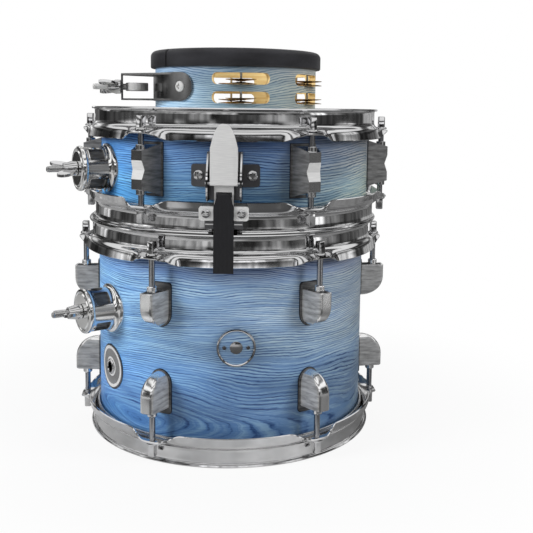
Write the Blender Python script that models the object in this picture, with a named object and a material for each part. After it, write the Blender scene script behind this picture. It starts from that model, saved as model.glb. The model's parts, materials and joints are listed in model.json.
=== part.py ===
"""Drum shell pack: a jingle ring stands on a snare drum, and the snare stands on a tom.

Lengths are in metres and angles in degrees. Each drum has its own frame, an empty on the drum's
axis. Inside it the front of the drum looks along -Y, and the tuning lugs stand at equal angles.
"""

import math

import bpy
import bmesh
from mathutils import Matrix, Vector

# Gaps between pieces that touch, and between pieces that move
touch_gap = 0.0003
running_gap = 0.0004

# Faces that meet at less than this are shaded as one round face
sharp_angle = 35.0

# Shells of both drums
shell_radius = 0.1265
shell_wall = 0.0065
tom_depth = 0.1778
snare_depth = 0.0826
bearing_inset = 0.0025
bearing_round = 0.0015
lug_count = 6

# Sides of the round forms, from the widest to the smallest
ring_steps = 36
jingle_ring_steps = 30
badge_steps = 16
mount_steps = 16
eye_steps = 14
jingle_steps = 10
bore_steps = 10
small_steps = 8
rod_steps = 6

# Drum heads
film_gap = 0.0003
film_thickness = 0.0005
collar_gap = 0.0006
flesh_hoop_width = 0.0025
flesh_hoop_height = 0.0076
flesh_hoop_drop = 0.0034
film_flat_inset = 0.0015

# Triple-flanged hoops, measured down from the rim
hoop_rise = 0.0100
hoop_to_head = 0.0009
hoop_sheet = 0.0019
rim_lip = 0.0028
lip_drop = 0.0026
hoop_wall_height = 0.0136
shoulder_reach = 0.0044
shoulder_drop = 0.0041
skirt_flare = 0.0021
hoop_height = 0.0270
ear_reach = 0.0136
ear_drop = 0.0196
ear_flat_half_angle = 3.4
ear_half_angle = 10.5
plain_station_angle = 20.0

# Tension rods and their square key heads
rod_radius = 0.0026
rod_from_wall = 0.0076
rod_engagement = 0.0120
rod_bore_clearance = 0.00045
key_head_width = 0.0064
key_head_top = 0.0068
key_head_bottom = 0.0172

# Single lugs of the tom. Each keeps its mouth this far from the rim of its own hoop.
upper_lug_to_rim = 0.0492
lower_lug_to_rim = 0.0462
lug_length = 0.0315
lug_depth = 0.0238
lug_root_half_width = 0.0087
lug_face_half_width = 0.0063
lug_straight = 0.0120
gasket_half_width = 0.0097
gasket_corner = 0.0010
gasket_over_mouth = 0.0055
gasket_under_tail = 0.0017
gasket_thickness = 0.0014
swivel_radius = 0.0043
swivel_height = 0.0048
lug_bore_depth = 0.0160

# Double-ended lugs of the snare
snare_lug_height = 0.0430
snare_lug_ridge_height = 0.0325
snare_lug_depth = 0.0195
snare_lug_root_half_width = 0.0110
snare_lug_ridge_half_width = 0.0063
snare_lug_notch = 0.0034
snare_gasket_margin = 0.0012
snare_lug_web = 0.0038

# Rod mounts
mount_angle = -60.0
tom_mount_height = 0.1213
snare_mount_height = 0.0480
mount_flange_radius = 0.0223
mount_flange_thickness = 0.0036
mount_neck_radius = 0.0196
mount_neck_height = 0.0018
mount_body_radius = 0.0188
mount_groove = 0.0008
mount_cap_radius = 0.0199
mount_cap_thickness = 0.0045
mount_cap_round = 0.0015
mount_length = 0.0288
mount_window_start = 0.0072
mount_window_end = 0.0212
mount_window_floor = 0.0160
rod_hole_radius = 0.0054
rod_hole_from_shell = 0.0145

# Eye bolts and wing nuts
eye_wall = 0.0030
eye_height = 0.0076
eye_travel = 0.0025
stem_radius = 0.0029
stem_clearance = 0.0005
stem_past_nut = 0.0065
stem_tip_round = 0.0013
nut_hub_radius = 0.0066
nut_nose_radius = 0.0050
nut_hub_length = 0.0120
wing_reach = 0.0150
wing_length = 0.0200
wing_thickness = 0.0028

# A wing's outline from its root round its tip, as shares of the wing's length and of its reach
wing_outline = (
    (0.06, 0.13),
    (0.11, 0.39),
    (0.35, 0.82),
    (0.70, 1.00),
    (1.00, 0.94),
    (0.97, 0.72),
    (0.62, 0.36),
    (0.50, 0.13),
)

# Vent badge and front medallion of the tom
vent_height = 0.0670
vent_badge_radius = 0.0200
vent_badge_thickness = 0.0010
grommet_radius = 0.0070
grommet_bore = 0.0046
grommet_proud = 0.0024
vent_hole_radius = 0.0058
medallion_height = 0.1020
medallion_radius = 0.0165
medallion_thickness = 0.0016
medallion_rim_width = 0.0022
medallion_rim_height = 0.0010
medallion_pin_radius = 0.0016
medallion_pin_height = 0.0008
medallion_pin_offset = 0.0086

# Snare throw-off
strainer_height = 0.0479
strainer_plate_width = 0.0560
strainer_plate_height = 0.0186
strainer_plate_thickness = 0.0020
plate_corner = 0.0022
strainer_screw_spacing = 0.0430
strainer_screw_radius = 0.0038
strainer_screw_height = 0.0016
cheek_gap = 0.0258
cheek_thickness = 0.0014
cheek_top = 0.0195
cheek_bottom = 0.0197
cheek_reach = 0.0202
cheek_foot_chamfer = 0.0042
cheek_front_top = 0.0020
cheek_top_reach = 0.0093
channel_thickness = 0.0022
guide_half_width = 0.0040
lever_width = 0.0222
lever_length = 0.0484
lever_thickness = 0.0016
lever_round = 0.0160
lever_proud = 0.0002
lever_flange_thickness = 0.0012
lever_flange_depth = 0.0040
lever_flange_height = 0.0270
hinge_reach = 0.0179
hinge_below_plate = 0.0050
hinge_pin_radius = 0.0011
hinge_pin_proud = 0.0008
hinge_barrel_radius = 0.0020
hinge_gap = 0.0003
lever_foot = 0.0012
slide_half_width = 0.0079
slide_inner_reach = 0.0141
slide_thickness = 0.0014
slide_top = 0.0095
slot_half_width = 0.0064
slot_top = -0.0122
slot_height = 0.0042
clamp_half_width = 0.0200
clamp_top = -0.0235
clamp_height = 0.0115
clamp_thickness = 0.0022
clamp_screw_spacing = 0.0286
clamp_screw_radius = 0.0030
clamp_screw_height = 0.0014
jaw_half_width = 0.0155
jaw_drop = 0.0070

# Snare strap and snare wires
strap_half_width = 0.0082
strap_slot_half_width = 0.0058
strap_thickness = 0.0006
strap_tail_end = -0.0300
strap_bend = 0.0030
strap_fold = 0.0010
strap_slack = 0.0004
gate_half_width = 0.0105
gate_height = 0.0104
wire_count = 16
wire_pitch = 0.0026
wire_radius = 0.0007
wire_half_length = 0.1020
wire_plate_length = 0.0100
wire_plate_thickness = 0.0016
wire_plate_margin = 0.0020
wire_plate_overlap = 0.0020
strap_sag = 0.0004

# Butt plate
butt_plate_width = 0.0400
butt_plate_height = 0.0160
butt_plate_thickness = 0.0020
butt_height = 0.0430
butt_clamp_half_width = 0.0150
butt_clamp_bottom = 0.0235
butt_clamp_thickness = 0.0022
butt_shelf_thickness = 0.0022
butt_shelf_edge = 0.0004
butt_lip_chamfer = 0.0010
butt_screw_radius = 0.0026
butt_screw_height = 0.0012
butt_screw_inset = 0.0045

# Jingle ring
ring_radius = 0.0762
ring_wall = 0.0060
ring_height = 0.0606
ring_edge = 0.0008
rubber_drop = 0.0162
rubber_thickness = 0.0040
rubber_rise = 0.0030
rubber_crown = 0.0045
rubber_lip = 0.0015
rubber_outer_round = 0.0030
rubber_inner_round = 0.0015
rubber_inner_drop = 0.0110
slot_positions = 4
slot_spacing = 60.0
jingle_slot_half_angle = 19.4
jingle_slot_height = 0.0103
jingle_slot_corner = 0.0032
lower_slot_centre = 0.0179
upper_slot_centre = 0.0343
jingle_radius = 0.0135
jingle_hub_radius = 0.0046
jingle_half_height = 0.0022
jingle_sheet = 0.0005
jingle_bore_radius = 0.0016
jingle_pin_radius = 0.0011

# Bracket of the jingle ring
bracket_angle = -177.0
bracket_half_angle = 54.0
bracket_height = 0.0255
bracket_centre_height = 0.0271
bracket_sheet = 0.0016
bracket_web_reach = 0.0318
bracket_web_half_width = 0.0095
bracket_root_half_angle = 39.0
bracket_root_steps = 6
bracket_station_angle = 7.5
bracket_end_angles = (15, 32, 50, 70)
bracket_edge = 0.0004
bracket_screw_angle = 44.4
bracket_screw_radius = 0.0042
bracket_screw_height = 0.0018
bracket_corner = 0.0030
ring_eye_radius = 0.0105
ring_eye_from_shell = 0.0172

# How the three stand on each other
snare_shift = 0.0030
tom_turn = 2.0
snare_turn = -3.8
ring_turn = 3.3

# Sizes that follow from the ones above
rod_circle = (
    shell_radius + collar_gap + flesh_hoop_width + hoop_to_head + hoop_sheet + rod_from_wall
)
rod_from_shell = rod_circle - shell_radius
film_top = film_gap + film_thickness
tom_height = tom_depth + 2 * hoop_rise
snare_height = snare_depth + 2 * hoop_rise
wires_level = hoop_rise - film_top - touch_gap - wire_plate_thickness / 2
strap_level = wires_level - strap_sag + strap_thickness / 2

chrome = ("chrome", (0.80, 0.80, 0.82), 0.12, 1.0)
blue_ash = ("blue_ash", (0.13, 0.30, 0.52), 0.35, 0.0)
film_white = ("film", (0.86, 0.86, 0.84), 0.45, 0.0)
black_rubber = ("black_rubber", (0.03, 0.03, 0.035), 0.55, 0.0)
black_strap = ("black_strap", (0.02, 0.02, 0.025), 0.75, 0.0)
satin_grey = ("satin_grey", (0.72, 0.72, 0.71), 0.40, 0.6)
brass = ("brass", (0.83, 0.62, 0.25), 0.22, 1.0)


def clear_scene():
    for thing in list(bpy.data.objects):
        bpy.data.objects.remove(thing)


def finish(kind):
    """The material for one (name, colour, roughness, metallic) entry, made once."""
    name, colour, roughness, metallic = kind
    found = bpy.data.materials.get(name)
    if found:
        return found
    made = bpy.data.materials.new(name)
    made.use_nodes = True
    shader = made.node_tree.nodes["Principled BSDF"]
    shader.inputs["Base Color"].default_value = (*colour, 1.0)
    shader.inputs["Roughness"].default_value = roughness
    shader.inputs["Metallic"].default_value = metallic
    made.diffuse_color = (*colour, 1.0)
    return made


def frame(name, parent=None, location=(0, 0, 0), turn=0.0):
    empty = bpy.data.objects.new(name, None)
    bpy.context.scene.collection.objects.link(empty)
    empty.parent = parent
    empty.location = location
    empty.rotation_euler.z = math.radians(turn)
    return empty


def part(name, mesh, kind, parent, location=(0, 0, 0), rotation=(0, 0, 0)):
    """One named piece with its own finish. The rotation is in degrees."""
    piece = bpy.data.objects.new(name, mesh)
    bpy.context.scene.collection.objects.link(piece)
    piece.parent = parent
    piece.location = location
    piece.rotation_euler = [math.radians(value) for value in rotation]
    if not mesh.materials:
        mesh.materials.append(finish(kind))
        mesh.shade_smooth()
        mesh.set_sharp_from_angle(angle=math.radians(sharp_angle))
    return piece


def on_wall(radius, angle, height):
    """The place on a round wall at this angle about Z, where local +X then looks outwards."""
    turn = math.radians(angle)
    return (radius * math.cos(turn), radius * math.sin(turn), height)


def to_mesh(shape):
    for point in shape.verts:
        point.co = [round(value, 8) for value in point.co]
    bmesh.ops.recalc_face_normals(shape, faces=shape.faces)
    mesh = bpy.data.meshes.new("shape")
    shape.to_mesh(mesh)
    shape.free()
    return mesh


def turned(profile, steps, axis="Z", phase=0.0):
    """A solid of revolution from (radius, height) points. A radius of 0 closes on the axis."""
    shape = bmesh.new()
    rings = []
    for radius, height in profile:
        ring = []
        for step in range(steps if radius else 1):
            angle = math.radians(phase) + 2 * math.pi * step / steps
            first, second = radius * math.cos(angle), radius * math.sin(angle)
            place = {
                "X": (height, first, second),
                "Y": (first, height, second),
                "Z": (first, second, height),
            }[axis]
            ring.append(shape.verts.new(place))
        rings.append(ring)
    pairs = list(zip(rings, rings[1:]))
    if profile[0][0] != 0:
        pairs.append((rings[-1], rings[0]))
    bridge(shape, pairs, steps)
    return to_mesh(shape)


def bridge(shape, pairs, steps):
    """Faces between neighbouring rings of points, each with this many points or just one."""
    for first, second in pairs:
        for step in range(steps):
            after = (step + 1) % steps
            corners = [
                first[step % len(first)],
                first[after % len(first)],
                second[after % len(second)],
                second[step % len(second)],
            ]
            corners = list(dict.fromkeys(corners))
            if len(corners) > 2:
                shape.faces.new(corners)


def prism(outline, low, high, axis):
    """An outline drawn in the two axes other than this one, drawn out from low to high."""
    shape = bmesh.new()
    ends = []
    for level in (low, high):
        points = []
        for first, second in outline:
            place = {
                "X": (level, first, second),
                "Y": (first, level, second),
                "Z": (first, second, level),
            }[axis]
            points.append(shape.verts.new(place))
        ends.append(points)
        shape.faces.new(points)
    count = len(outline)
    for index in range(count):
        after = (index + 1) % count
        shape.faces.new((ends[0][index], ends[0][after], ends[1][after], ends[1][index]))
    return to_mesh(shape)


def block(low, high):
    outline = [(low[0], low[1]), (high[0], low[1]), (high[0], high[1]), (low[0], high[1])]
    return prism(outline, low[2], high[2], "Z")


def moved(mesh, offset=(0, 0, 0), turn=0.0, axis="Z"):
    """A copy of the mesh turned about one axis of its own frame, then moved."""
    copy = mesh.copy()
    copy.transform(Matrix.Translation(Vector(offset)) @ Matrix.Rotation(math.radians(turn), 4, axis))
    for point in copy.vertices:
        point.co = [round(value, 8) for value in point.co]
    return copy


def combine(base, tools, operation):
    """The base after an exact Boolean with each tool in turn."""
    holder = bpy.data.objects.new("holder", base)
    bpy.context.scene.collection.objects.link(holder)
    helpers = [holder]
    for tool in tools:
        helper = bpy.data.objects.new("helper", tool)
        bpy.context.scene.collection.objects.link(helper)
        helpers.append(helper)
        modifier = holder.modifiers.new("combine", "BOOLEAN")
        modifier.operation = operation
        modifier.object = helper
    graph = bpy.context.evaluated_depsgraph_get()
    result = bpy.data.meshes.new_from_object(holder.evaluated_get(graph))
    for helper in helpers:
        bpy.data.objects.remove(helper)
    return result


def joined(base, *tools):
    return combine(base, tools, "UNION")


def cut(base, *tools):
    return combine(base, tools, "DIFFERENCE")


def common(base, *tools):
    return combine(base, tools, "INTERSECT")


def gathered(meshes):
    """Separate bodies in one mesh, for a cutter or for a union with one carrier."""
    shape = bmesh.new()
    for mesh in meshes:
        shape.from_mesh(mesh)
    return to_mesh(shape)


def ellipse_quarter(centre, radii, steps, start=0.0, end=90.0):
    """Points along an elliptic arc, from start to end degrees."""
    points = []
    for step in range(steps + 1):
        angle = math.radians(start + (end - start) * step / steps)
        points.append(
            (centre[0] + radii[0] * math.cos(angle), centre[1] + radii[1] * math.sin(angle))
        )
    return points


def chamfered(half_width, half_height, corner, middle=0.0):
    """A rectangle's outline with cut corners, its middle raised along the second axis."""
    points = []
    for side, end in ((1, -1), (1, 1), (-1, 1), (-1, -1)):
        beside = (side * half_width, middle + end * (half_height - corner))
        above = (side * (half_width - corner), middle + end * half_height)
        points += [beside, above] if side == end else [above, beside]
    return points


def rod(radius, low, high, steps, axis="Z"):
    """A plain round bar between two heights on its axis."""
    return turned([(0, low), (radius, low), (radius, high), (0, high)], steps, axis)


def behind_wall(thickness):
    """All that lies inside this height over the shell, seen from a frame that stands on it."""
    cylinder = rod(shell_radius + thickness, -tom_depth / 2, tom_depth / 2, ring_steps)
    return moved(cylinder, (-shell_radius, 0, 0))


def seat_on_wall(mesh):
    """Cuts the back of a fitting to the shell that it stands on, less the touching gap."""
    return cut(mesh, behind_wall(touch_gap))


def thinned_to_wall(mesh, thickness):
    """Cuts the front of a fitting to follow the shell at this thickness."""
    return common(mesh, behind_wall(touch_gap + thickness))


def hug_wall(mesh, thickness):
    """Keeps only the layer of a fitting that lies against the shell."""
    return seat_on_wall(thinned_to_wall(mesh, thickness))


def lug_angles():
    return [-90 + (index + 0.5) * 360 / lug_count for index in range(lug_count)]


def smooth_step(value):
    value = min(1.0, max(0.0, value))
    return value * value * (3 - 2 * value)


# Shells


def shell_mesh(depth):
    inner = shell_radius - shell_wall
    peak = shell_radius - bearing_inset
    bevel = peak - inner
    profile = [
        (inner, bevel),
        (peak, 0),
        (shell_radius, bearing_round),
        (shell_radius, depth - bearing_round),
        (peak, depth),
        (inner, depth - bevel),
    ]
    return turned(profile, ring_steps)


# Heads


def head_mesh():
    """Film over the bearing edge at height 0, with its flesh hoop below."""
    collar = shell_radius + collar_gap
    outer = collar + flesh_hoop_width
    flat = shell_radius - film_flat_inset
    low = -flesh_hoop_drop - flesh_hoop_height
    profile = [
        (0, film_top),
        (flat, film_top),
        (outer, -flesh_hoop_drop),
        (outer, low),
        (collar, low),
        (collar, film_gap),
        (0, film_gap),
    ]
    return turned(profile, ring_steps)


# Hoops


def hoop_section(ear):
    """The hoop's cross-section, rim at height 0. Ear runs from 0, the skirt, to 1, the ear tab."""
    inner = rod_circle - rod_from_wall - hoop_sheet
    wall = inner + hoop_sheet
    shoulder = wall + shoulder_reach
    shoulder_height = -hoop_wall_height - shoulder_drop
    skirt_end = (shoulder + skirt_flare, -hoop_height)
    skirt_end_inner = (skirt_end[0] - hoop_sheet, -hoop_height)
    ear_end = (wall + ear_reach, -ear_drop)
    ear_end_inner = (ear_end[0], -ear_drop - hoop_sheet)

    def between(down, out):
        return (down[0] + (out[0] - down[0]) * ear, down[1] + (out[1] - down[1]) * ear)

    return [
        (inner, 0),
        (wall + rim_lip, 0),
        (wall, -lip_drop),
        (wall, -hoop_wall_height),
        (shoulder, shoulder_height),
        between(skirt_end, ear_end),
        between(skirt_end_inner, ear_end_inner),
        (shoulder - hoop_sheet, shoulder_height - 0.6 * hoop_sheet),
        (inner, -hoop_wall_height - hoop_sheet),
    ]


def hoop_stations():
    """(angle, ear weight) all the way round, with close stations at each ear."""
    stations = []
    span = ear_half_angle - ear_flat_half_angle
    sector = 360 / lug_count
    angles = (ear_flat_half_angle, ear_half_angle, plain_station_angle)
    for centre in lug_angles():
        for offset in [-angle for angle in reversed(angles)] + list(angles):
            weight = 1 - smooth_step((abs(offset) - ear_flat_half_angle) / span)
            stations.append((centre + offset, weight))
        stations.append((centre + sector / 2, 0.0))
    return stations


def tension_rod(length):
    """A rod that hangs from its square key head, along -Z from the rim's height."""
    shaft_top = -(key_head_top + key_head_bottom) / 2
    shaft = rod(rod_radius, -length, shaft_top, rod_steps)
    half = key_head_width / 2
    head = block((-half, -half, -key_head_bottom - hoop_sheet), (half, half, -key_head_top))
    return shaft, head


def hoop_mesh(rod_length, gates=False):
    shape = bmesh.new()
    rings = []
    for angle, ear in hoop_stations():
        turn = math.radians(angle)
        rings.append(
            [
                shape.verts.new((radius * math.cos(turn), radius * math.sin(turn), height))
                for radius, height in hoop_section(ear)
            ]
        )
    bridge(shape, list(zip(rings, rings[1:] + rings[:1])), len(rings[0]))
    hoop = to_mesh(shape)
    if gates:
        hoop = snare_gates(hoop)
    shaft, head = tension_rod(rod_length)
    for piece in (shaft, head):
        row = [moved(moved(piece, (rod_circle, 0, 0)), turn=angle) for angle in lug_angles()]
        hoop = joined(hoop, gathered(row))
    return hoop


def snare_gates(hoop):
    """Cuts the two notches in the rim that let the straps out, at the front and the back."""
    inner = rod_circle - rod_from_wall - 2 * hoop_sheet
    outer = rod_circle
    front = block((-gate_half_width, -outer, -gate_height), (gate_half_width, -inner, rim_lip))
    return cut(hoop, front, moved(front, turn=180))


# Lugs


def tom_lug_mesh():
    """Single lug: mouth at height 0, body along -Z, local +X away from the shell."""
    root = touch_gap + gasket_thickness / 2
    tail = lug_length - lug_straight
    outline = [(root, 0), (lug_depth, 0)]
    outline += ellipse_quarter((root, -lug_straight), (lug_depth - root, -tail), 4)
    body = prism(outline, -lug_root_half_width, lug_root_half_width, "Y")
    narrow(body, root, lug_depth, lug_face_half_width / lug_root_half_width)
    low = -lug_length - gasket_under_tail
    round_start = low + gasket_half_width
    plate = [
        (gasket_half_width, gasket_over_mouth - gasket_corner),
        (gasket_half_width - gasket_corner, gasket_over_mouth),
        (gasket_corner - gasket_half_width, gasket_over_mouth),
        (-gasket_half_width, gasket_over_mouth - gasket_corner),
    ]
    plate += ellipse_quarter(
        (0, round_start), (gasket_half_width, gasket_half_width), 4, 180, 360
    )
    gasket = prism(plate, -gasket_thickness, touch_gap + gasket_thickness, "X")
    swivel = rod(swivel_radius, -swivel_height / 4, swivel_height, small_steps)
    lug = joined(seat_on_wall(gasket), body, moved(swivel, (rod_from_shell, 0, 0)))
    return cut(lug, rod_bore(-lug_bore_depth, 2 * swivel_height))


def narrow(mesh, start, end, scale):
    """Tapers a body across Y as X runs from start to end."""
    for point in mesh.vertices:
        share = (point.co.x - start) / (end - start)
        point.co.y *= 1 + (scale - 1) * share


def rod_bore(low, high):
    bore = rod(rod_radius + rod_bore_clearance, low, high, rod_steps)
    return moved(bore, (rod_from_shell, 0, 0))


def snare_lug_mesh():
    """Double-ended lug about its middle, with a V notch across the ridge."""
    root = touch_gap + gasket_thickness / 2
    top = snare_lug_height / 2
    ridge = snare_lug_ridge_height / 2
    outline = [
        (root, -top),
        (snare_lug_depth, -ridge),
        (snare_lug_depth, -snare_lug_notch),
        (snare_lug_depth - snare_lug_notch, 0),
        (snare_lug_depth, snare_lug_notch),
        (snare_lug_depth, ridge),
        (root, top),
    ]
    body = prism(outline, -snare_lug_root_half_width, snare_lug_root_half_width, "Y")
    narrow(body, root, snare_lug_depth, snare_lug_ridge_half_width / snare_lug_root_half_width)
    half = snare_lug_root_half_width + snare_gasket_margin
    reach = top + snare_gasket_margin
    gasket = block((-gasket_thickness, -half, -reach), (touch_gap + gasket_thickness, half, reach))
    gasket = seat_on_wall(gasket)
    bores = [rod_bore(snare_lug_web, 2 * top), rod_bore(-2 * top, -snare_lug_web)]
    return cut(joined(gasket, body), *bores)


# Rod mounts, eye bolts and wing nuts


def mount_mesh():
    """Round body on a flange, local +X away from the shell, open for the rod along Z."""
    cap_start = mount_length - mount_cap_thickness
    profile = [
        (0, -mount_flange_radius),
        (mount_flange_radius, -mount_flange_radius),
        (mount_flange_radius, mount_flange_thickness),
        (mount_neck_radius, mount_flange_thickness + mount_neck_height),
        (mount_body_radius, cap_start - mount_groove),
        (mount_cap_radius, cap_start),
        (mount_cap_radius, mount_length - mount_cap_round),
        (mount_cap_radius - mount_cap_round, mount_length),
        (0, mount_length),
    ]
    body = seat_on_wall(turned(profile, mount_steps, "X"))
    window = block(
        (mount_window_start, -mount_flange_radius, mount_window_floor),
        (mount_window_end, mount_flange_radius, mount_flange_radius),
    )
    lower_window = moved(window, turn=180, axis="X")
    reach = 2 * mount_flange_radius
    rod_hole = rod(rod_hole_radius, -reach, reach, bore_steps)
    eye_outer = rod_hole_radius + eye_wall
    side = eye_outer + running_gap
    half_height = eye_height / 2 + running_gap
    pocket = block(
        (rod_hole_from_shell - side - eye_travel, -side, -half_height),
        (rod_hole_from_shell + side, side, half_height),
    )
    stem_hole = stem_bore(rod_hole_from_shell, 2 * mount_length)
    rod_hole = moved(rod_hole, (rod_hole_from_shell, 0, 0))
    return cut(body, window, lower_window, rod_hole, pocket, stem_hole)


def stem_bore(low, high):
    return rod(stem_radius + stem_clearance, low, high, small_steps, "X")


def eye_bolt_mesh(bore_radius, outer_radius, tip):
    """Eye about the local Z axis, with its stem along +X to the tip."""
    half = eye_height / 2
    eye = turned(
        [(bore_radius, -half), (outer_radius, -half), (outer_radius, half), (bore_radius, half)],
        eye_steps,
    )
    start = (bore_radius + outer_radius) / 2
    stem = turned(
        [
            (0, start),
            (stem_radius, start),
            (stem_radius, tip - stem_tip_round),
            (stem_radius - stem_tip_round, tip),
            (0, tip),
        ],
        small_steps,
        "X",
    )
    return joined(eye, stem)


def wing_nut_mesh():
    """Wing nut on the local X axis, seat at 0, wings in the XY plane."""
    hub = turned(
        [
            (0, 0),
            (nut_hub_radius, 0),
            (nut_hub_radius, 0.4 * nut_hub_length),
            (nut_nose_radius, nut_hub_length),
            (0, nut_hub_length),
        ],
        bore_steps,
        "X",
    )
    wing = [(along * wing_length, out * wing_reach) for along, out in wing_outline]
    half = wing_thickness / 2
    left = prism(wing, -half, half, "Z")
    right = prism([(x, -y) for x, y in wing], -half, half, "Z")
    return cut(joined(hub, left, right), stem_bore(-wing_length, wing_length))


def add_rod_clamp(prefix, parent, radius, angle, height, eye, nut_seat, nut_turn):
    """The eye bolt and the wing nut that clamp a rod, on the wall of one drum or ring."""
    bore_radius, outer_radius, centre = eye
    tip = nut_seat + wing_length + stem_past_nut - centre
    bolt = eye_bolt_mesh(bore_radius, outer_radius, tip)
    part(
        prefix + "_eye_bolt",
        bolt,
        chrome,
        parent,
        on_wall(radius + centre, angle, height),
        (0, 0, angle),
    )
    part(
        prefix + "_wing_nut",
        wing_nut_mesh(),
        chrome,
        parent,
        on_wall(radius + nut_seat + touch_gap, angle, height),
        (nut_turn, 0, angle),
    )


# Trim of the tom


def badge_disc(radius):
    """A round cutter or blank that reaches through the wall, with a flat side up."""
    profile = [(0, -radius), (radius, -radius), (radius, radius), (0, radius)]
    return turned(profile, badge_steps, "X", 180 / badge_steps)


def vent_badge_mesh():
    """Curved disc with the grommet that goes through the shell."""
    disc = hug_wall(badge_disc(vent_badge_radius), vent_badge_thickness)
    tube_radius = vent_hole_radius - running_gap
    grommet = turned(
        [
            (grommet_bore, -shell_wall),
            (tube_radius, -shell_wall),
            (tube_radius, vent_badge_thickness),
            (grommet_radius, vent_badge_thickness),
            (grommet_radius, grommet_proud),
            (grommet_bore, grommet_proud),
        ],
        bore_steps,
        "X",
    )
    hole_radius = (grommet_bore + tube_radius) / 2
    hole = rod(hole_radius, -vent_badge_radius, vent_badge_radius, bore_steps, "X")
    return joined(cut(disc, hole), grommet)


def medallion_mesh():
    """Plain curved medallion with a raised rim and two pins."""
    body = hug_wall(badge_disc(medallion_radius), medallion_thickness + medallion_rim_height)
    face = touch_gap + medallion_thickness
    recess = cut(badge_disc(medallion_radius - medallion_rim_width), behind_wall(face))
    start = face - medallion_thickness / 2
    pin = rod(medallion_pin_radius, start, face + medallion_pin_height, small_steps, "X")
    pins = [moved(pin, (0, side * medallion_pin_offset, 0)) for side in (-1, 1)]
    return joined(cut(body, recess), *pins)


# Snare throw-off, in a frame that stands on the shell at the middle of the base plate


def pan_head(radius, height, start):
    """A screw head that stands on a face at x = start."""
    profile = [
        (0, start - height / 2),
        (radius, start - height / 2),
        (radius, start + height / 2),
        (0.7 * radius, start + height),
        (0, start + height),
    ]
    return turned(profile, small_steps, "X")


def strainer_base_mesh():
    half_width = strainer_plate_width / 2
    outline = chamfered(half_width, strainer_plate_height / 2, plate_corner)
    plate = thinned_to_wall(prism(outline, -half_width, half_width, "X"), strainer_plate_thickness)
    face = touch_gap + strainer_plate_thickness
    inner = cheek_gap / 2
    outer = inner + cheek_thickness
    side = [
        (-cheek_reach, -cheek_bottom),
        (cheek_reach - cheek_foot_chamfer, -cheek_bottom),
        (cheek_reach, cheek_foot_chamfer - cheek_bottom),
        (cheek_reach, cheek_front_top),
        (cheek_top_reach, cheek_top),
        (-cheek_reach, cheek_top),
    ]
    channel = prism(side, -outer, outer, "Y")
    between = block(
        (face + channel_thickness, -inner, -2 * cheek_bottom), (2 * cheek_reach, inner, 2 * cheek_top)
    )
    frame_shape = seat_on_wall(joined(plate, cut(channel, between)))
    pin_half = outer + hinge_pin_proud
    pin = rod(hinge_pin_radius, -pin_half, pin_half, small_steps, "Y")
    pin = moved(pin, (hinge_reach, 0, -hinge_below_plate))
    guide = block(
        (face, -guide_half_width, slot_top + touch_gap),
        (slide_inner_reach - touch_gap, guide_half_width, slide_top),
    )
    screws = []
    for sign in (-1, 1):
        across = sign * strainer_screw_spacing / 2
        drop = shell_radius - math.sqrt(shell_radius**2 - across**2)
        screw = pan_head(strainer_screw_radius, strainer_screw_height, face - drop)
        screws.append(moved(screw, (0, across, 0)))
    return joined(frame_shape, pin, guide, *screws)


def lever_mesh():
    """Lever in its hinge's frame: local X away from the shell, Z up the lever."""
    front = cheek_reach + lever_proud - hinge_reach
    low = -lever_foot
    half = lever_width / 2
    straight_top = low + lever_length - lever_round
    outline = [(-half, low), (half, low)]
    outline += ellipse_quarter((0, straight_top), (half, lever_round), 8, 0, 180)
    plate = prism(outline, front - lever_thickness, front, "X")
    flange_low = hinge_barrel_radius
    flanges = [
        block(
            (front - lever_thickness - lever_flange_depth, side, flange_low),
            (
                front - lever_thickness / 2,
                side + lever_flange_thickness,
                flange_low + lever_flange_height,
            ),
        )
        for side in (-half, half - lever_flange_thickness)
    ]
    barrel = rod(hinge_barrel_radius, -half, half, bore_steps, "Y")
    bore = rod(hinge_pin_radius + hinge_gap, -2 * half, 2 * half, small_steps, "Y")
    return cut(joined(plate, *flanges, barrel), bore)


def slide_mesh():
    """Sliding bar with its strap slot, and the clamp plate on its front."""
    back = slide_inner_reach
    front = back + slide_thickness
    clamp_bottom = clamp_top - clamp_height
    bar = block(
        (back, -slide_half_width, clamp_bottom - jaw_drop), (front, slide_half_width, slide_top)
    )
    jaw = block(
        (back, -jaw_half_width, clamp_bottom - jaw_drop),
        (front, jaw_half_width, clamp_bottom + slide_thickness),
    )
    clamp_front = front + clamp_thickness
    middle = clamp_top - clamp_height / 2
    outline = chamfered(clamp_half_width, clamp_height / 2, plate_corner, middle)
    clamp = prism(outline, front - slide_thickness / 2, clamp_front, "X")
    screw = pan_head(clamp_screw_radius, clamp_screw_height, clamp_front)
    screws = [moved(screw, (0, sign * clamp_screw_spacing / 2, middle)) for sign in (-1, 1)]
    slot = block(
        (back - slide_thickness, -slot_half_width, slot_top - slot_height),
        (front + slide_thickness, slot_half_width, slot_top),
    )
    return cut(joined(bar, jaw, clamp, *screws), slot)


def ribbon(path, thickness):
    """A strap along (x, z, half width) points. The thickness lies to the right of the path."""
    shape = bmesh.new()
    rings = []
    for index, (x, z, half) in enumerate(path):
        before = Vector(path[max(0, index - 1)][:2])
        after = Vector(path[min(len(path) - 1, index + 1)][:2])
        along = (after - before).normalized()
        side = Vector((along.y, -along.x)) * thickness
        inner = Vector((x, z))
        outer = inner + side
        corners = [(inner, -half), (inner, half), (outer, half), (outer, -half)]
        rings.append([shape.verts.new((point.x, across, point.y)) for point, across in corners])
    bridge(shape, list(zip(rings, rings[1:])), 4)
    shape.faces.new(rings[0])
    shape.faces.new(rings[-1])
    return to_mesh(shape)


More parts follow.
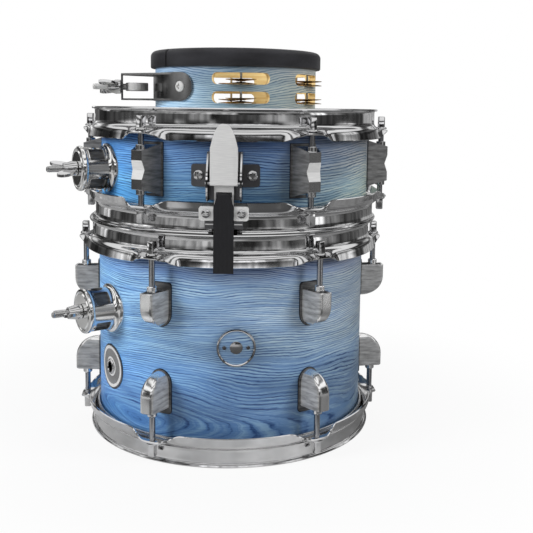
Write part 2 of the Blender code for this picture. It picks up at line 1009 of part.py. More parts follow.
def strap_bend_path(start, level, rise):
    """A strap's way out from the wires at this level, round its bend and up at x = rise."""
    return [
        (start, level, strap_half_width),
        (rise - strap_bend, level, strap_half_width),
        (rise - strap_bend / 4, level + strap_bend / 4, strap_half_width),
        (rise, level + strap_bend, strap_half_width),
    ]


def snare_strap_mesh():
    """From the snare wires through the front gate, up behind the clamp, out of the slot and down."""
    wide = strap_half_width
    slim = strap_slot_half_width
    under = strap_level - strainer_height
    rise = slide_inner_reach - touch_gap - strap_thickness
    slot_middle = slot_top - slot_height / 2
    start = wire_half_length + wire_plate_length - wire_plate_overlap + touch_gap - shell_radius
    front = slide_inner_reach + slide_thickness
    hang = front + clamp_thickness + touch_gap + strap_thickness
    fold = strap_fold
    clamp_bottom = clamp_top - clamp_height
    path = strap_bend_path(start, under, rise) + [
        (rise, slot_middle - 6 * fold, wide),
        (rise, slot_middle - fold, slim),
        (rise + fold, slot_middle + fold, slim),
        (front + fold, slot_middle + fold, slim),
        (front + 2 * fold, slot_middle - fold, slim),
        (hang, slot_middle - 6 * fold, 0.85 * wide),
        (hang + strap_slack, clamp_top - fold, wide),
        (hang + strap_slack, clamp_bottom - fold, wide),
        (hang, strap_tail_end - strainer_height, wide),
    ]
    return ribbon(path, strap_thickness)


# Snare wires and butt plate


def snare_wires_mesh():
    """Strands along Y under the snare-side head, fused to an end plate at each end."""
    half_width = (wire_count - 1) / 2 * wire_pitch
    strands = []
    for index in range(wire_count):
        across = index * wire_pitch - half_width
        strand = rod(wire_radius, -wire_half_length, wire_half_length, 4, "Y")
        strands.append(moved(strand, (across, 0, 0)))
    wires = gathered(strands)
    reach = half_width + wire_plate_margin
    half = wire_plate_thickness / 2
    inner = wire_half_length - wire_plate_overlap
    plate = block((-reach, inner, -half), (reach, inner + wire_plate_length, half))
    return joined(wires, plate, moved(plate, turn=180))


def butt_plate_mesh():
    """Base on the shell with a shelf and a clamp lip that hold the rear strap."""
    half_width = butt_plate_width / 2
    half_height = butt_plate_height / 2
    plate = block((-half_width, -half_width, -half_height), (half_width, half_width, half_height))
    plate = thinned_to_wall(plate, butt_plate_thickness)
    lip_start = slide_inner_reach
    lip_end = lip_start + butt_clamp_thickness
    shelf_bottom = -half_height + butt_shelf_edge
    shelf_top = shelf_bottom + butt_shelf_thickness
    clamp_bottom = butt_clamp_bottom - butt_height
    elbow = [
        (-lip_start, shelf_bottom),
        (lip_start, shelf_bottom),
        (lip_start, clamp_bottom),
        (lip_end, clamp_bottom),
        (lip_end, shelf_top - butt_lip_chamfer),
        (lip_end - butt_lip_chamfer, shelf_top),
        (-lip_start, shelf_top),
    ]
    elbow = prism(elbow, -butt_clamp_half_width, butt_clamp_half_width, "Y")
    screw = pan_head(butt_screw_radius, butt_screw_height, lip_end)
    across = butt_clamp_half_width - butt_screw_inset
    height = clamp_bottom + butt_screw_inset
    lip_screws = [moved(screw, (0, sign * across, height)) for sign in (-1, 1)]
    return joined(seat_on_wall(joined(plate, elbow)), *lip_screws)


def butt_strap_mesh():
    """From the rear end of the wires through the rear gate, up behind the clamp lip."""
    under = strap_level - butt_height
    rise = slide_inner_reach - touch_gap - strap_thickness
    top = butt_shelf_edge - butt_plate_height / 2 - touch_gap
    start = wire_half_length + wire_plate_length - wire_plate_overlap + touch_gap - shell_radius
    path = strap_bend_path(start, under, rise) + [(rise, top, strap_half_width)]
    return ribbon(path, strap_thickness)


# Jingle ring


def slot_angles():
    """Slot centres about Z. The front slot looks along -Y."""
    return [-90 + slot_spacing * index for index in range(slot_positions)]


def curved_slot(centre_height):
    """A cutter for one slot through the ring wall, centred on local +X, with chamfered corners."""
    reach = ring_radius + ring_wall
    side = reach * math.tan(math.radians(jingle_slot_half_angle))
    corner = jingle_slot_corner * reach / ring_radius
    outline = chamfered(side, jingle_slot_height / 2, corner)
    wedge = prism(outline, ring_radius - 2 * ring_wall, reach, "X")
    for point in wedge.vertices:
        point.co.y *= point.co.x / reach
    return moved(wedge, (0, 0, centre_height))


def ring_shell_mesh():
    inner = ring_radius - ring_wall
    shell = turned(
        [
            (inner, 0),
            (ring_radius - ring_edge, 0),
            (ring_radius, ring_edge),
            (ring_radius, ring_height - rubber_rise),
            (inner, ring_height - rubber_rise),
        ],
        jingle_ring_steps,
    )
    cutters = []
    pins = []
    pin_circle = ring_radius - ring_wall / 2
    pin_low = lower_slot_centre - jingle_slot_height
    pin_high = upper_slot_centre + jingle_slot_height
    pin = rod(jingle_pin_radius, pin_low, pin_high, rod_steps)
    for angle in slot_angles():
        for height in (lower_slot_centre, upper_slot_centre):
            cutters.append(moved(curved_slot(height), turn=angle))
        pins.append(moved(pin, on_wall(pin_circle, angle, 0)))
    return joined(cut(shell, gathered(cutters)), gathered(pins))


def rubber_edge_mesh():
    """Moulded edge over the ring's upper rim."""
    inner = ring_radius - ring_wall
    outer_face = ring_radius + touch_gap
    low = ring_height - rubber_drop
    outside = outer_face + rubber_thickness
    inside = inner - touch_gap - rubber_thickness
    seat = ring_height - rubber_rise + touch_gap
    profile = [
        (outer_face, low),
        (outside, low + rubber_lip),
        (outside, ring_height - rubber_crown),
        (outside - rubber_outer_round, ring_height),
        (inside + rubber_inner_round, ring_height),
        (inside, ring_height - rubber_crown),
        (inner - touch_gap, ring_height - rubber_inner_drop),
        (inner - touch_gap, seat),
        (outer_face, seat),
    ]
    return turned(profile, jingle_ring_steps)


def jingle_pair_mesh():
    """Two saucers back to back that turn and slide on one pin."""
    top = jingle_half_height
    low = top - jingle_sheet
    profile = [
        (jingle_bore_radius, -jingle_sheet),
        (jingle_radius, -top),
        (jingle_radius, -low),
        (jingle_hub_radius, 0),
        (jingle_radius, low),
        (jingle_radius, top),
        (jingle_bore_radius, jingle_sheet),
    ]
    return turned(profile, jingle_steps)


def bracket_channel():
    """Two plates that reach out from the ring to a web, all one bent sheet."""
    half = bracket_height / 2 - bracket_edge
    web = bracket_web_reach
    root = ring_radius + touch_gap + bracket_sheet / 2
    plan = []
    for step in range(bracket_root_steps + 1):
        angle = math.radians(bracket_root_half_angle * (1 - 2 * step / bracket_root_steps))
        plan.append((root * math.cos(angle) - ring_radius, root * math.sin(angle)))
    plan += [(web, -bracket_web_half_width), (web, bracket_web_half_width)]
    solid = prism(plan, -half, half, "Z")
    inner = half - bracket_sheet
    between = block((-ring_radius, -ring_radius, -inner), (web - bracket_sheet, ring_radius, inner))
    chamfers = []
    past = bracket_sheet
    for side in (-1, 1):
        corner = [
            (web + past, side * (half + past)),
            (web + past, side * (half - bracket_corner - past)),
            (web - bracket_corner - past, side * (half + past)),
        ]
        chamfers.append(prism(corner, -bracket_height, bracket_height, "Y"))
    return cut(solid, between, *chamfers)


def bracket_mesh():
    """Base that hugs the ring, and a channel around the eye bolt, local +X outwards."""
    half_width = ring_radius * math.radians(bracket_half_angle)
    base = curved_base(half_width, bracket_height / 2)
    web = bracket_web_reach
    rod_hole = rod(rod_hole_radius, -bracket_height, bracket_height, bore_steps)
    rod_hole = moved(rod_hole, (ring_eye_from_shell, 0, 0))
    stem_hole = stem_bore(web - 2 * bracket_sheet, web + bracket_sheet)
    channel = cut(bracket_channel(), rod_hole, stem_hole)
    screws = []
    for angle in (-bracket_screw_angle, bracket_screw_angle):
        start = ring_radius + touch_gap + bracket_sheet
        screw = pan_head(bracket_screw_radius, bracket_screw_height, start)
        screws.append(moved(moved(screw, turn=angle), (-ring_radius, 0, 0)))
    return joined(base, channel, *screws)


def curved_base(half_width, half_height):
    """A strip bent round the ring, with rounded ends."""
    shape = bmesh.new()
    inner = ring_radius + touch_gap
    outer = inner + bracket_sheet
    end = half_width - half_height
    stations = []
    for across, half in end_profile(half_height):
        stations.append((-end - across, half))
    count = int(math.degrees(end / ring_radius) // bracket_station_angle)
    for index in range(-count, count + 1):
        angle = math.radians(index * bracket_station_angle)
        stations.append((angle * ring_radius, half_height))
    for across, half in reversed(end_profile(half_height)):
        stations.append((end + across, half))
    rings = []
    for along, half in stations:
        angle = along / ring_radius
        ring = []
        for radius, height in ((inner, -half), (outer, -half), (outer, half), (inner, half)):
            place = (radius * math.cos(angle) - ring_radius, radius * math.sin(angle), height)
            ring.append(shape.verts.new(place))
        rings.append(ring)
    bridge(shape, list(zip(rings, rings[1:])), 4)
    shape.faces.new(rings[0])
    shape.faces.new(rings[-1])
    return to_mesh(shape)


def end_profile(half_height):
    """(distance past the end's centre, half height) of a rounded end, from the tip inwards."""
    return [
        (half_height * math.cos(math.radians(angle)), half_height * math.sin(math.radians(angle)))
        for angle in bracket_end_angles
    ]


# The three instruments


def add_lugs(parent, names, mesh, height, upside_down):
    for index, angle in enumerate(lug_angles()):
        part(
            f"{names}_{index + 1}",
            mesh,
            chrome,
            parent,
            on_wall(shell_radius, angle, height),
            (180 if upside_down else 0, 0, angle),
        )


def add_heads(parent, prefixes, depth):
    mesh = head_mesh()
    top, bottom = prefixes
    part(top, mesh, film_white, parent, (0, 0, hoop_rise + depth))
    part(bottom, mesh, film_white, parent, (0, 0, hoop_rise), (180, 0, 0))


def add_tom(parent):
    depth = tom_depth
    shell = shell_mesh(depth)
    hole = rod(vent_hole_radius, -2 * shell_wall, 2 * shell_wall, bore_steps, "X")
    angle = -90 + mount_angle
    place = Matrix.Translation(on_wall(shell_radius, angle, vent_height - hoop_rise))
    hole.transform(place @ Matrix.Rotation(math.radians(angle), 4, "Z"))
    part("tom_shell", cut(shell, hole), blue_ash, parent, (0, 0, hoop_rise))
    add_heads(parent, ("tom_batter_head", "tom_resonant_head"), depth)
    top = hoop_mesh(upper_lug_to_rim + rod_engagement)
    bottom = hoop_mesh(lower_lug_to_rim + rod_engagement)
    part("tom_top_hoop", top, chrome, parent, (0, 0, tom_height))
    part("tom_bottom_hoop", bottom, chrome, parent, (0, 0, 0), (180, 0, 0))
    lug = tom_lug_mesh()
    add_lugs(parent, "tom_upper_lug", lug, tom_height - upper_lug_to_rim, False)
    add_lugs(parent, "tom_lower_lug", lug, lower_lug_to_rim, True)
    part(
        "tom_mount",
        mount_mesh(),
        chrome,
        parent,
        on_wall(shell_radius, angle, tom_mount_height),
        (0, 0, angle),
    )
    eye = (rod_hole_radius, rod_hole_radius + eye_wall, rod_hole_from_shell)
    add_rod_clamp("tom", parent, shell_radius, angle, tom_mount_height, eye, mount_length, 5)
    part(
        "tom_vent_badge",
        vent_badge_mesh(),
        chrome,
        parent,
        on_wall(shell_radius, angle, vent_height),
        (0, 0, angle),
    )
    part(
        "tom_medallion",
        medallion_mesh(),
        chrome,
        parent,
        on_wall(shell_radius, -90, medallion_height),
        (0, 0, -90),
    )


def add_snare(parent):
    depth = snare_depth
    part("snare_shell", shell_mesh(depth), blue_ash, parent, (0, 0, hoop_rise))
    add_heads(parent, ("snare_batter_head", "snare_resonant_head"), depth)
    lug_to_rim = (snare_height - snare_lug_ridge_height) / 2
    hoop = hoop_mesh(lug_to_rim + rod_engagement)
    gated = hoop_mesh(lug_to_rim + rod_engagement, gates=True)
    part("snare_top_hoop", hoop, chrome, parent, (0, 0, snare_height))
    part("snare_bottom_hoop", gated, chrome, parent, (0, 0, 0), (180, 0, 0))
    add_lugs(parent, "snare_lug", snare_lug_mesh(), snare_height / 2, False)
    angle = -90 + mount_angle
    part(
        "snare_mount",
        mount_mesh(),
        chrome,
        parent,
        on_wall(shell_radius, angle, snare_mount_height),
        (0, 0, angle),
    )
    eye = (rod_hole_radius, rod_hole_radius + eye_wall, rod_hole_from_shell)
    add_rod_clamp("snare", parent, shell_radius, angle, snare_mount_height, eye, mount_length, -20)
    add_strainer(parent)
    part("snare_wires", snare_wires_mesh(), satin_grey, parent, (0, 0, wires_level))


def add_strainer(parent):
    front = on_wall(shell_radius, -90, strainer_height)
    part("strainer_base", strainer_base_mesh(), chrome, parent, front, (0, 0, -90))
    part("strainer_slide", slide_mesh(), satin_grey, parent, front, (0, 0, -90))
    part("snare_strap", snare_strap_mesh(), black_strap, parent, front, (0, 0, -90))
    hinge = on_wall(shell_radius + hinge_reach, -90, strainer_height - hinge_below_plate)
    part("strainer_lever", lever_mesh(), satin_grey, parent, hinge, (0, 0, -90))
    back = on_wall(shell_radius, 90, butt_height)
    part("butt_plate", butt_plate_mesh(), chrome, parent, back, (0, 0, 90))
    part("butt_strap", butt_strap_mesh(), black_strap, parent, back, (0, 0, 90))


def add_jingle_ring(parent):
    part("jingle_ring_shell", ring_shell_mesh(), blue_ash, parent)
    part("jingle_ring_rubber", rubber_edge_mesh(), black_rubber, parent)
    pair = jingle_pair_mesh()
    pin_circle = ring_radius - ring_wall / 2
    rest = touch_gap + jingle_half_height - jingle_slot_height / 2
    number = 0
    for height in (upper_slot_centre, lower_slot_centre):
        for angle in slot_angles():
            number += 1
            place = on_wall(pin_circle, angle, height + rest)
            part(f"jingle_pair_{number}", pair, brass, parent, place)
    part(
        "jingle_ring_bracket",
        bracket_mesh(),
        chrome,
        parent,
        on_wall(ring_radius, bracket_angle, bracket_centre_height),
        (0, 0, bracket_angle),
    )
    eye = (ring_eye_radius - eye_wall, ring_eye_radius, ring_eye_from_shell)
    add_rod_clamp(
        "jingle_ring",
        parent,
        ring_radius,
        bracket_angle,
        bracket_centre_height,
        eye,
        bracket_web_reach,
        20,
    )


def stand_on_origin(root):
    """Moves the whole pack so that its box stands centred on the origin."""
    bpy.context.view_layer.update()
    graph = bpy.context.evaluated_depsgraph_get()
    corners = []
    for piece in bpy.data.objects:
        if piece.type == "MESH":
            solid = piece.evaluated_get(graph)
            corners += [solid.matrix_world @ point.co for point in solid.data.vertices]
    low = [min(corner[axis] for corner in corners) for axis in range(3)]
    high = [max(corner[axis] for corner in corners) for axis in range(3)]
    root.location = (-(low[0] + high[0]) / 2, -(low[1] + high[1]) / 2, -low[2])


def build():
    clear_scene()
    root = frame("pack_frame")
    tom_frame = frame("tom_frame", root, (0, 0, 0), tom_turn)
    snare_base = tom_height + touch_gap
    snare_frame = frame("snare_frame", root, (snare_shift, 0, snare_base), snare_turn)
    ring_base = snare_base + hoop_rise + snare_depth + film_top + touch_gap
    ring_frame = frame("jingle_ring_frame", root, (snare_shift, 0, ring_base), ring_turn)
    add_tom(tom_frame)
    add_snare(snare_frame)
    add_jingle_ring(ring_frame)
    stand_on_origin(root)


build()
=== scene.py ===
"""Looks of the drum shell pack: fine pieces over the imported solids, finishes, studio and camera.

Lengths are in metres and angles in degrees. Pieces are drawn in the frame of their own drum and
then placed on its axis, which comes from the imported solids.
"""

import json
import math

import bpy
import bmesh
from mathutils import Matrix, Vector

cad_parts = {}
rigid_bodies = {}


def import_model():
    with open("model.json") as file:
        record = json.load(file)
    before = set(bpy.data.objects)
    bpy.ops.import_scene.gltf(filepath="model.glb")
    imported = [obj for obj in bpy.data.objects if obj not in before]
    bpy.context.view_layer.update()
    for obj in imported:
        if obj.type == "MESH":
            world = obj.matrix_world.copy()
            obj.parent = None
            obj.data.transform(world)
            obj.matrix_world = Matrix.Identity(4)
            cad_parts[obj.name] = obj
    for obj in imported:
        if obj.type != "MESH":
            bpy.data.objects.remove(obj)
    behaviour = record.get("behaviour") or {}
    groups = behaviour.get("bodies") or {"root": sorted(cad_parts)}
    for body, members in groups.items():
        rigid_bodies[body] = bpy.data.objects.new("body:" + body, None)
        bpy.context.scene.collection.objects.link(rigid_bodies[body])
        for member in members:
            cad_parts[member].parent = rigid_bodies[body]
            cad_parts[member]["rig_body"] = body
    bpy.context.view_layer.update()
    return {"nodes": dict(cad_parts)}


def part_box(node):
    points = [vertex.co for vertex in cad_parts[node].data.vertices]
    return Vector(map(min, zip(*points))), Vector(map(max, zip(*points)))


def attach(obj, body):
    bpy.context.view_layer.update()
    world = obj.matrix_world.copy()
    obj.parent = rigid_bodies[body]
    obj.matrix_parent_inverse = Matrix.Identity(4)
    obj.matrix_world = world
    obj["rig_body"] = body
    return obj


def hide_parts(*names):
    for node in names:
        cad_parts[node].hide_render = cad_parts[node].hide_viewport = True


# Shells and heads
shell_radius = 0.1265
shell_wall = 0.0065
tom_depth = 0.1778
snare_depth = 0.0826
bearing_inset = 0.0025
hoop_rise = 0.01
tom_height = tom_depth + 2 * hoop_rise
snare_height = snare_depth + 2 * hoop_rise
film_top = 0.0008
round_steps = 144

# Hoops: the middle line of the sheet from the lip to the shoulder, then its two kinds of skirt
hoop_sheet = 0.0019
hoop_top_line = [
    (0.1352, -0.001), (0.134, -0.00098), (0.1327, -0.00125), (0.1319, -0.0019),
    (0.1315, -0.003), (0.13145, -0.006), (0.13145, -0.012), (0.1316, -0.0137),
    (0.1322, -0.0153), (0.1333, -0.0166), (0.1348, -0.01765),
]
skirt_line = [
    (0.13585, -0.0185), (0.13645, -0.02), (0.1369, -0.0222), (0.13745, -0.0248), (0.13795, -0.0269),
]
ear_line = [(0.137, -0.0188), (0.1392, -0.01925), (0.1414, -0.01965), (0.1436, -0.0201), (0.1456, -0.02045)]
ear_flat_half_angle = 2.2
ear_half_angle = 10.5
gate_half_width = 0.0105
gate_height = 0.0104

# Tension rods
rod_circle = 0.14
rod_radius = 0.0026
key_head_width = 0.0064
key_head_top = 0.0068
key_head_bottom = 0.0172
washer_radius = 0.0052
rod_past_lug = 0.0115

# Lugs of the tom
upper_lug_to_rim = 0.0492
lower_lug_to_rim = 0.0462
lug_length = 0.0315
lug_depth = 0.0238
lug_root_half_width = 0.0087
lug_face_half_width = 0.0063
lug_straight = 0.012
flange_half_width = 0.0101
flange_over_mouth = 0.0055
flange_under_tail = 0.0008
flange_thickness = 0.0016
swivel_radius = 0.0043
swivel_height = 0.0048
mouth_wall = 0.0017
mouth_depth = 0.006

# Lugs of the snare
snare_lug_height = 0.043
snare_lug_ridge_height = 0.0325
snare_lug_depth = 0.0195
snare_lug_root_half_width = 0.011
snare_lug_ridge_half_width = 0.0056
snare_lug_notch = 0.0078
snare_lug_notch_depth = 0.0026

# Rod mounts
mount_angle = -150.0
tom_mount_height = 0.1213
snare_mount_height = 0.048
mount_length = 0.0288
mount_flange_radius = 0.0223
mount_cap_radius = 0.0199
mount_cap_length = 0.0045
rod_hole_radius = 0.0054
rod_hole_from_shell = 0.0145
eye_height = 0.0076
stem_radius = 0.0029
nut_hub_radius = 0.0066
nut_hub_length = 0.012
wing_reach = 0.015
wing_length = 0.02
wing_thickness = 0.0028
stem_past_nut = 0.0063

# Badges of the tom
vent_height = 0.067
vent_badge_radius = 0.02
vent_hole_radius = 0.0058
grommet_radius = 0.007
grommet_bore = 0.0046
medallion_height = 0.102
medallion_radius = 0.0165

# Snare throw-off
strainer_height = 0.0479
cheek_gap = 0.0258
cheek_reach = 0.0202
cheek_bottom = -0.0197
cheek_top = 0.0195
hinge_reach = 0.0179
hinge_below_plate = 0.005
lever_width = 0.0222
lever_length = 0.0484
slide_inner_reach = 0.0141
slide_sheet = 0.0014
clamp_sheet = 0.0022
clamp_top = -0.0235
clamp_height = 0.0115
strap_half_width = 0.0082
strap_thickness = 0.0006
butt_height = 0.043

# Jingle ring
ring_radius = 0.0762
ring_wall = 0.006
ring_height = 0.0606
rubber_drop = 0.0162
rubber_thickness = 0.004
rubber_seam_angle = -144.4
slot_half_angle = 19.4
slot_height = 0.0103
slot_corner = 0.0046
lower_slot_centre = 0.0179
upper_slot_centre = 0.0343
pin_past_slot = 0.0095
jingle_radius = 0.0135
jingle_half_height = 0.0022
bracket_angle = -177.0
bracket_half_angle = 54.0
bracket_height = 0.0255
bracket_centre_height = 0.0271
bracket_sheet = 0.0016
bracket_web_reach = 0.0318
bracket_web_half_width = 0.0095
bracket_screw_angle = 44.4
ring_eye_radius = 0.0105
ring_eye_from_shell = 0.0172

# Fits of small parts
wall_gap = 0.0003
foot_top = 0.0023
stem_slack = 0.0005
pin_radius = 0.0011
strap_inner_radius = 0.1103
strap_level = 0.0083

# Growth rings of the ash: how many, and how they crowd together away from the loops' centre
ring_rate = 760
ring_growth = 1.25

# Turn of each instrument about its axis
tom_turn = 2.0
snare_turn = -3.8
ring_turn = 3.3

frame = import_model()


# Camera, at the photograph's place


def add_camera():
    camera = bpy.data.cameras.new("camera")
    camera.lens = 55.67
    camera.sensor_width = 36
    camera.shift_y = -0.125
    camera.clip_start = 0.01
    holder = bpy.data.objects.new("camera", camera)
    bpy.context.scene.collection.objects.link(holder)
    yaw = Matrix.Rotation(math.radians(-2.495), 4, "Z")
    pitch = Matrix.Rotation(math.radians(90 - 6.527), 4, "X")
    roll = Matrix.Rotation(math.radians(0.699), 4, "Z")
    holder.matrix_world = Matrix.Translation((0.00428, -0.79563, 0.303)) @ yaw @ pitch @ roll
    bpy.context.scene.camera = holder


# Node helpers


class Shades:
    """One material or world node tree, with short calls for the nodes used here."""

    def __init__(self, tree):
        self.tree = tree

    def add(self, kind, **settings):
        node = self.tree.nodes.new(kind)
        for name, value in settings.items():
            setattr(node, name, value)
        return node

    def put(self, socket, value):
        if isinstance(value, bpy.types.NodeSocket):
            self.tree.links.new(value, socket)
        else:
            socket.default_value = value

    def fill(self, node, *values):
        """Fills the node's first sockets and gives its first result."""
        for socket, value in zip(node.inputs, values):
            self.put(socket, value)
        return node.outputs[0]

    def axes(self, vector):
        node = self.add("ShaderNodeSeparateXYZ")
        self.fill(node, vector)
        return node.outputs

    def math(self, operation, first, second=0.0, third=0.0):
        return self.fill(self.add("ShaderNodeMath", operation=operation), first, second, third)

    def place(self, scale):
        """Object coordinates times this scale."""
        source = self.add("ShaderNodeTexCoord").outputs["Object"]
        mapping = self.add("ShaderNodeMapping")
        self.put(mapping.inputs["Vector"], source)
        self.put(mapping.inputs["Scale"], scale)
        return mapping.outputs[0]

    def stretched(self, vector, scale):
        return self.fill(self.add("ShaderNodeVectorMath", operation="MULTIPLY"), vector, scale)

    def noise(self, vector, detail=2.0, roughness=0.5):
        node = self.add("ShaderNodeTexNoise")
        self.put(node.inputs["Vector"], vector)
        self.put(node.inputs["Scale"], 1.0)
        self.put(node.inputs["Detail"], detail)
        self.put(node.inputs["Roughness"], roughness)
        return node.outputs[0]

    def ramp(self, value, stops):
        node = self.add("ShaderNodeValToRGB")
        elements = node.color_ramp.elements
        while len(elements) < len(stops):
            elements.new(0.5)
        for element, (position, colour) in zip(elements, stops):
            element.position = position
            element.color = (*colour, 1.0) if isinstance(colour, tuple) else (colour, colour, colour, 1.0)
        self.put(node.inputs[0], value)
        return node.outputs[0]

    def patches(self, scale, stops, **settings):
        """Noise through a ramp of tones."""
        return self.ramp(self.noise(self.place(scale), **settings), stops)

    def mix(self, share, first, second, blend="MIX"):
        node = self.add("ShaderNodeMix", data_type="RGBA", blend_type=blend)
        self.put(node.inputs[0], share)
        self.put(node.inputs[6], first)
        self.put(node.inputs[7], second)
        return node.outputs[2]

    def times(self, first, second):
        return self.mix(1.0, first, second, "MULTIPLY")

    def bump(self, height, distance, strength):
        node = self.add("ShaderNodeBump")
        self.put(node.inputs["Height"], height)
        self.put(node.inputs["Distance"], distance)
        self.put(node.inputs["Strength"], strength)
        return node.outputs[0]


class Finish(Shades):
    """The node tree of a new material, with its shader."""

    def __init__(self, name):
        self.material = bpy.data.materials.new(name)
        self.material.use_nodes = True
        self.shader = self.material.node_tree.nodes["Principled BSDF"]
        super().__init__(self.material.node_tree)

    def wear(self, colour, roughness, relief=None, metal=0.0):
        """Colour, roughness, relief as (height, distance, strength), and the share of metal."""
        self.put(self.shader.inputs["Base Color"], colour)
        self.put(self.shader.inputs["Roughness"], roughness)
        self.put(self.shader.inputs["Metallic"], metal)
        if relief:
            self.put(self.shader.inputs["Normal"], self.bump(*relief))
        return self.material


def srgb(red, green, blue):
    """Linear colour of an 8-bit sRGB colour."""
    return tuple(((value / 255 + 0.055) / 1.055) ** 2.4 for value in (red, green, blue))


# Finishes


def stained_ash(name, stains, loop_place, loop_stretch, levels, tones):
    """Open-grained ash under a blue stain. Growth rings close in long loops round one place."""
    tree = Finish(name)
    x, y, z = tree.axes(tree.place((1, 1, 1)))
    slow = tree.noise(tree.place((7, 7, 16)), detail=1.0)
    quick = tree.noise(tree.place((30, 30, 110)))
    jagged = tree.noise(tree.place((150, 150, 420)), detail=1.0)

    # Distance from the middle of the loops, which sets the growth ring
    rise = tree.math("ADD", z, tree.math("MULTIPLY_ADD", slow, 0.04, -0.02 - loop_place[1]))
    around = tree.math("SUBTRACT", x, tree.math("MULTIPLY_ADD", y, 0.6, loop_place[0]))
    along = tree.math("MULTIPLY", around, loop_stretch)
    square = tree.math("ADD", tree.math("POWER", rise, 2.0), tree.math("POWER", along, 2.0))
    distance = tree.math("MULTIPLY_ADD", quick, 0.0022, tree.math("SQRT", square))
    distance = tree.math("MULTIPLY_ADD", jagged, 0.0009, distance)
    across = tree.fill(tree.add("ShaderNodeCombineXYZ"), x, y, distance)
    drift = tree.noise(tree.stretched(across, (3, 3, 45)), detail=1.0)
    turns = tree.math("MULTIPLY", tree.math("POWER", distance, ring_growth), ring_rate)
    rings = tree.math("FRACT", tree.math("MULTIPLY_ADD", drift, 3.0, turns))
    line = tree.ramp(rings, [
        (0.0, 0.35), (0.07, 0.0), (0.17, 0.15), (0.34, 0.78), (0.75, 1.0), (0.92, 0.85), (1.0, 0.35),
    ])

    # Stain: strong or weak rings, streaks along them and fine fibres
    pressed = tree.patches((22, 22, 120), [(0.35, 0.14), (0.65, 0.52)])
    pressed = tree.math("MULTIPLY", pressed, tree.ramp(distance, [(0.01, 0.45), (0.055, 1.0)]))
    streaks = tree.noise(tree.stretched(across, (16, 16, 1100)), roughness=0.6)
    fibres = tree.noise(tree.place((60, 60, 2600)), roughness=0.65)
    line = tree.math("MULTIPLY_ADD", tree.math("SUBTRACT", line, 0.7), pressed, 0.2)
    value = tree.math("ADD", line, tree.math("MULTIPLY", streaks, 0.66))
    value = tree.math("MULTIPLY_ADD", fibres, 0.42, value)
    dark, middle, light = stains
    colour = tree.ramp(value, [(0.49, dark), (0.67, middle), (0.74, middle), (0.89, light)])
    colour = tree.times(colour, tree.patches((9, 9, 26), [(0.34, 0.7), (0.66, 1.18)]))

    # Darker towards the foot, a painted shadow under the hoop at the top, and painted shade and sheen that
    # change from side to side
    height = tree.fill(tree.add("ShaderNodeMapRange"), z, *levels, 0.0, 1.0)
    depth = tree.ramp(height, [
        (0.0, (0.58, 0.71, 0.86)), (0.22, (0.5, 0.67, 0.86)), (0.36, (0.58, 0.74, 0.91)),
        (0.52, (0.88, 0.94, 0.97)), (0.62, 1.0), (0.8, 1.0), (0.87, (0.76, 0.73, 0.84)),
        (0.93, (0.58, 0.54, 0.68)), (1.0, (0.36, 0.36, 0.46)),
    ])
    side = tree.ramp(tree.math("MULTIPLY_ADD", x, 3.8, 0.5), tones)
    colour = tree.times(tree.times(colour, depth), side)
    tree.shader.inputs["Coat Weight"].default_value = 0.3
    tree.shader.inputs["Coat Roughness"].default_value = 0.3
    return tree.wear(colour, tree.ramp(fibres, [(0.3, 0.55), (0.7, 0.42)]), (value, 0.0003, 0.5))


def maple_finish():
    tree = Finish("bare_maple")
    grain = tree.noise(tree.place((30, 30, 420)), detail=3.0)
    colour = tree.ramp(grain, [(0.3, srgb(232, 196, 128)), (0.7, srgb(252, 230, 172))])
    return tree.wear(colour, 0.5, (grain, 0.0002, 0.3))


def metal_finish(name, colour, smooth, rough, ripple=0.0):
    """Plated metal with faint smears in its gloss and, where asked, slow ripples."""
    tree = Finish(name)
    smears = tree.noise(tree.place((55, 55, 55)), detail=3.0)
    gloss = tree.ramp(smears, [(0.35, smooth), (0.72, rough)])
    tint = tuple(value * 0.93 for value in colour)
    colour = tree.ramp(smears, [(0.3, tint), (0.65, colour)])
    relief = None
    if ripple:
        relief = (tree.noise(tree.place((30, 30, 30)), detail=1.0), ripple, 0.6)
    return tree.wear(colour, gloss, relief, 1.0)


def shaded_cast_finish(name, dark, pale):
    """A darker copy of plating that paints shade on a casting, with the flow marks of its mould."""
    tree = Finish(name)
    flow = tree.noise(tree.place((75, 75, 420)), detail=3.0, roughness=0.6)
    colour = tree.ramp(flow, [(0.34, dark), (0.66, pale)])
    return tree.wear(colour, tree.ramp(flow, [(0.3, 0.42), (0.7, 0.3)]), (flow, 0.0003, 0.5), 0.45)


def lever_finish():
    """Fine satin plating on the throw-off, brushed across."""
    tree = Finish("satin_plating")
    brushed = tree.noise(tree.place((90, 90, 1800)))
    colour = tree.ramp(brushed, [(0.3, srgb(212, 212, 212)), (0.7, srgb(226, 226, 225))])
    gloss = tree.ramp(brushed, [(0.3, 0.52), (0.7, 0.42)])
    return tree.wear(colour, gloss, (brushed, 0.00005, 0.4), 0.35)


def rubber_finish():
    tree = Finish("moulded_rubber")
    grain = tree.noise(tree.place((700, 700, 700)))
    colour = tree.patches((30, 30, 80), [(0.35, srgb(27, 27, 30)), (0.75, srgb(46, 46, 50))], detail=3.0)
    return tree.wear(colour, tree.ramp(grain, [(0.3, 0.42), (0.7, 0.55)]), (grain, 0.0001, 0.35))


def strap_finish():
    """Woven nylon: ribs across with a fine crossing thread."""
    tree = Finish("woven_strap")
    bands = []
    for direction, scale in (("Z", 420.0), ("X", 300.0)):
        wave = tree.add("ShaderNodeTexWave", bands_direction=direction)
        tree.put(wave.inputs["Vector"], tree.place((1, 1, 1)))
        tree.put(wave.inputs["Scale"], scale)
        bands.append(wave.outputs["Fac"])
    weave = tree.math("MULTIPLY", *bands)
    tree.shader.inputs["Sheen Weight"].default_value = 0.15
    colour = tree.ramp(weave, [(0.1, srgb(17, 17, 20)), (0.9, srgb(36, 36, 40))])
    return tree.wear(colour, 0.85, (weave, 0.0003, 0.6))


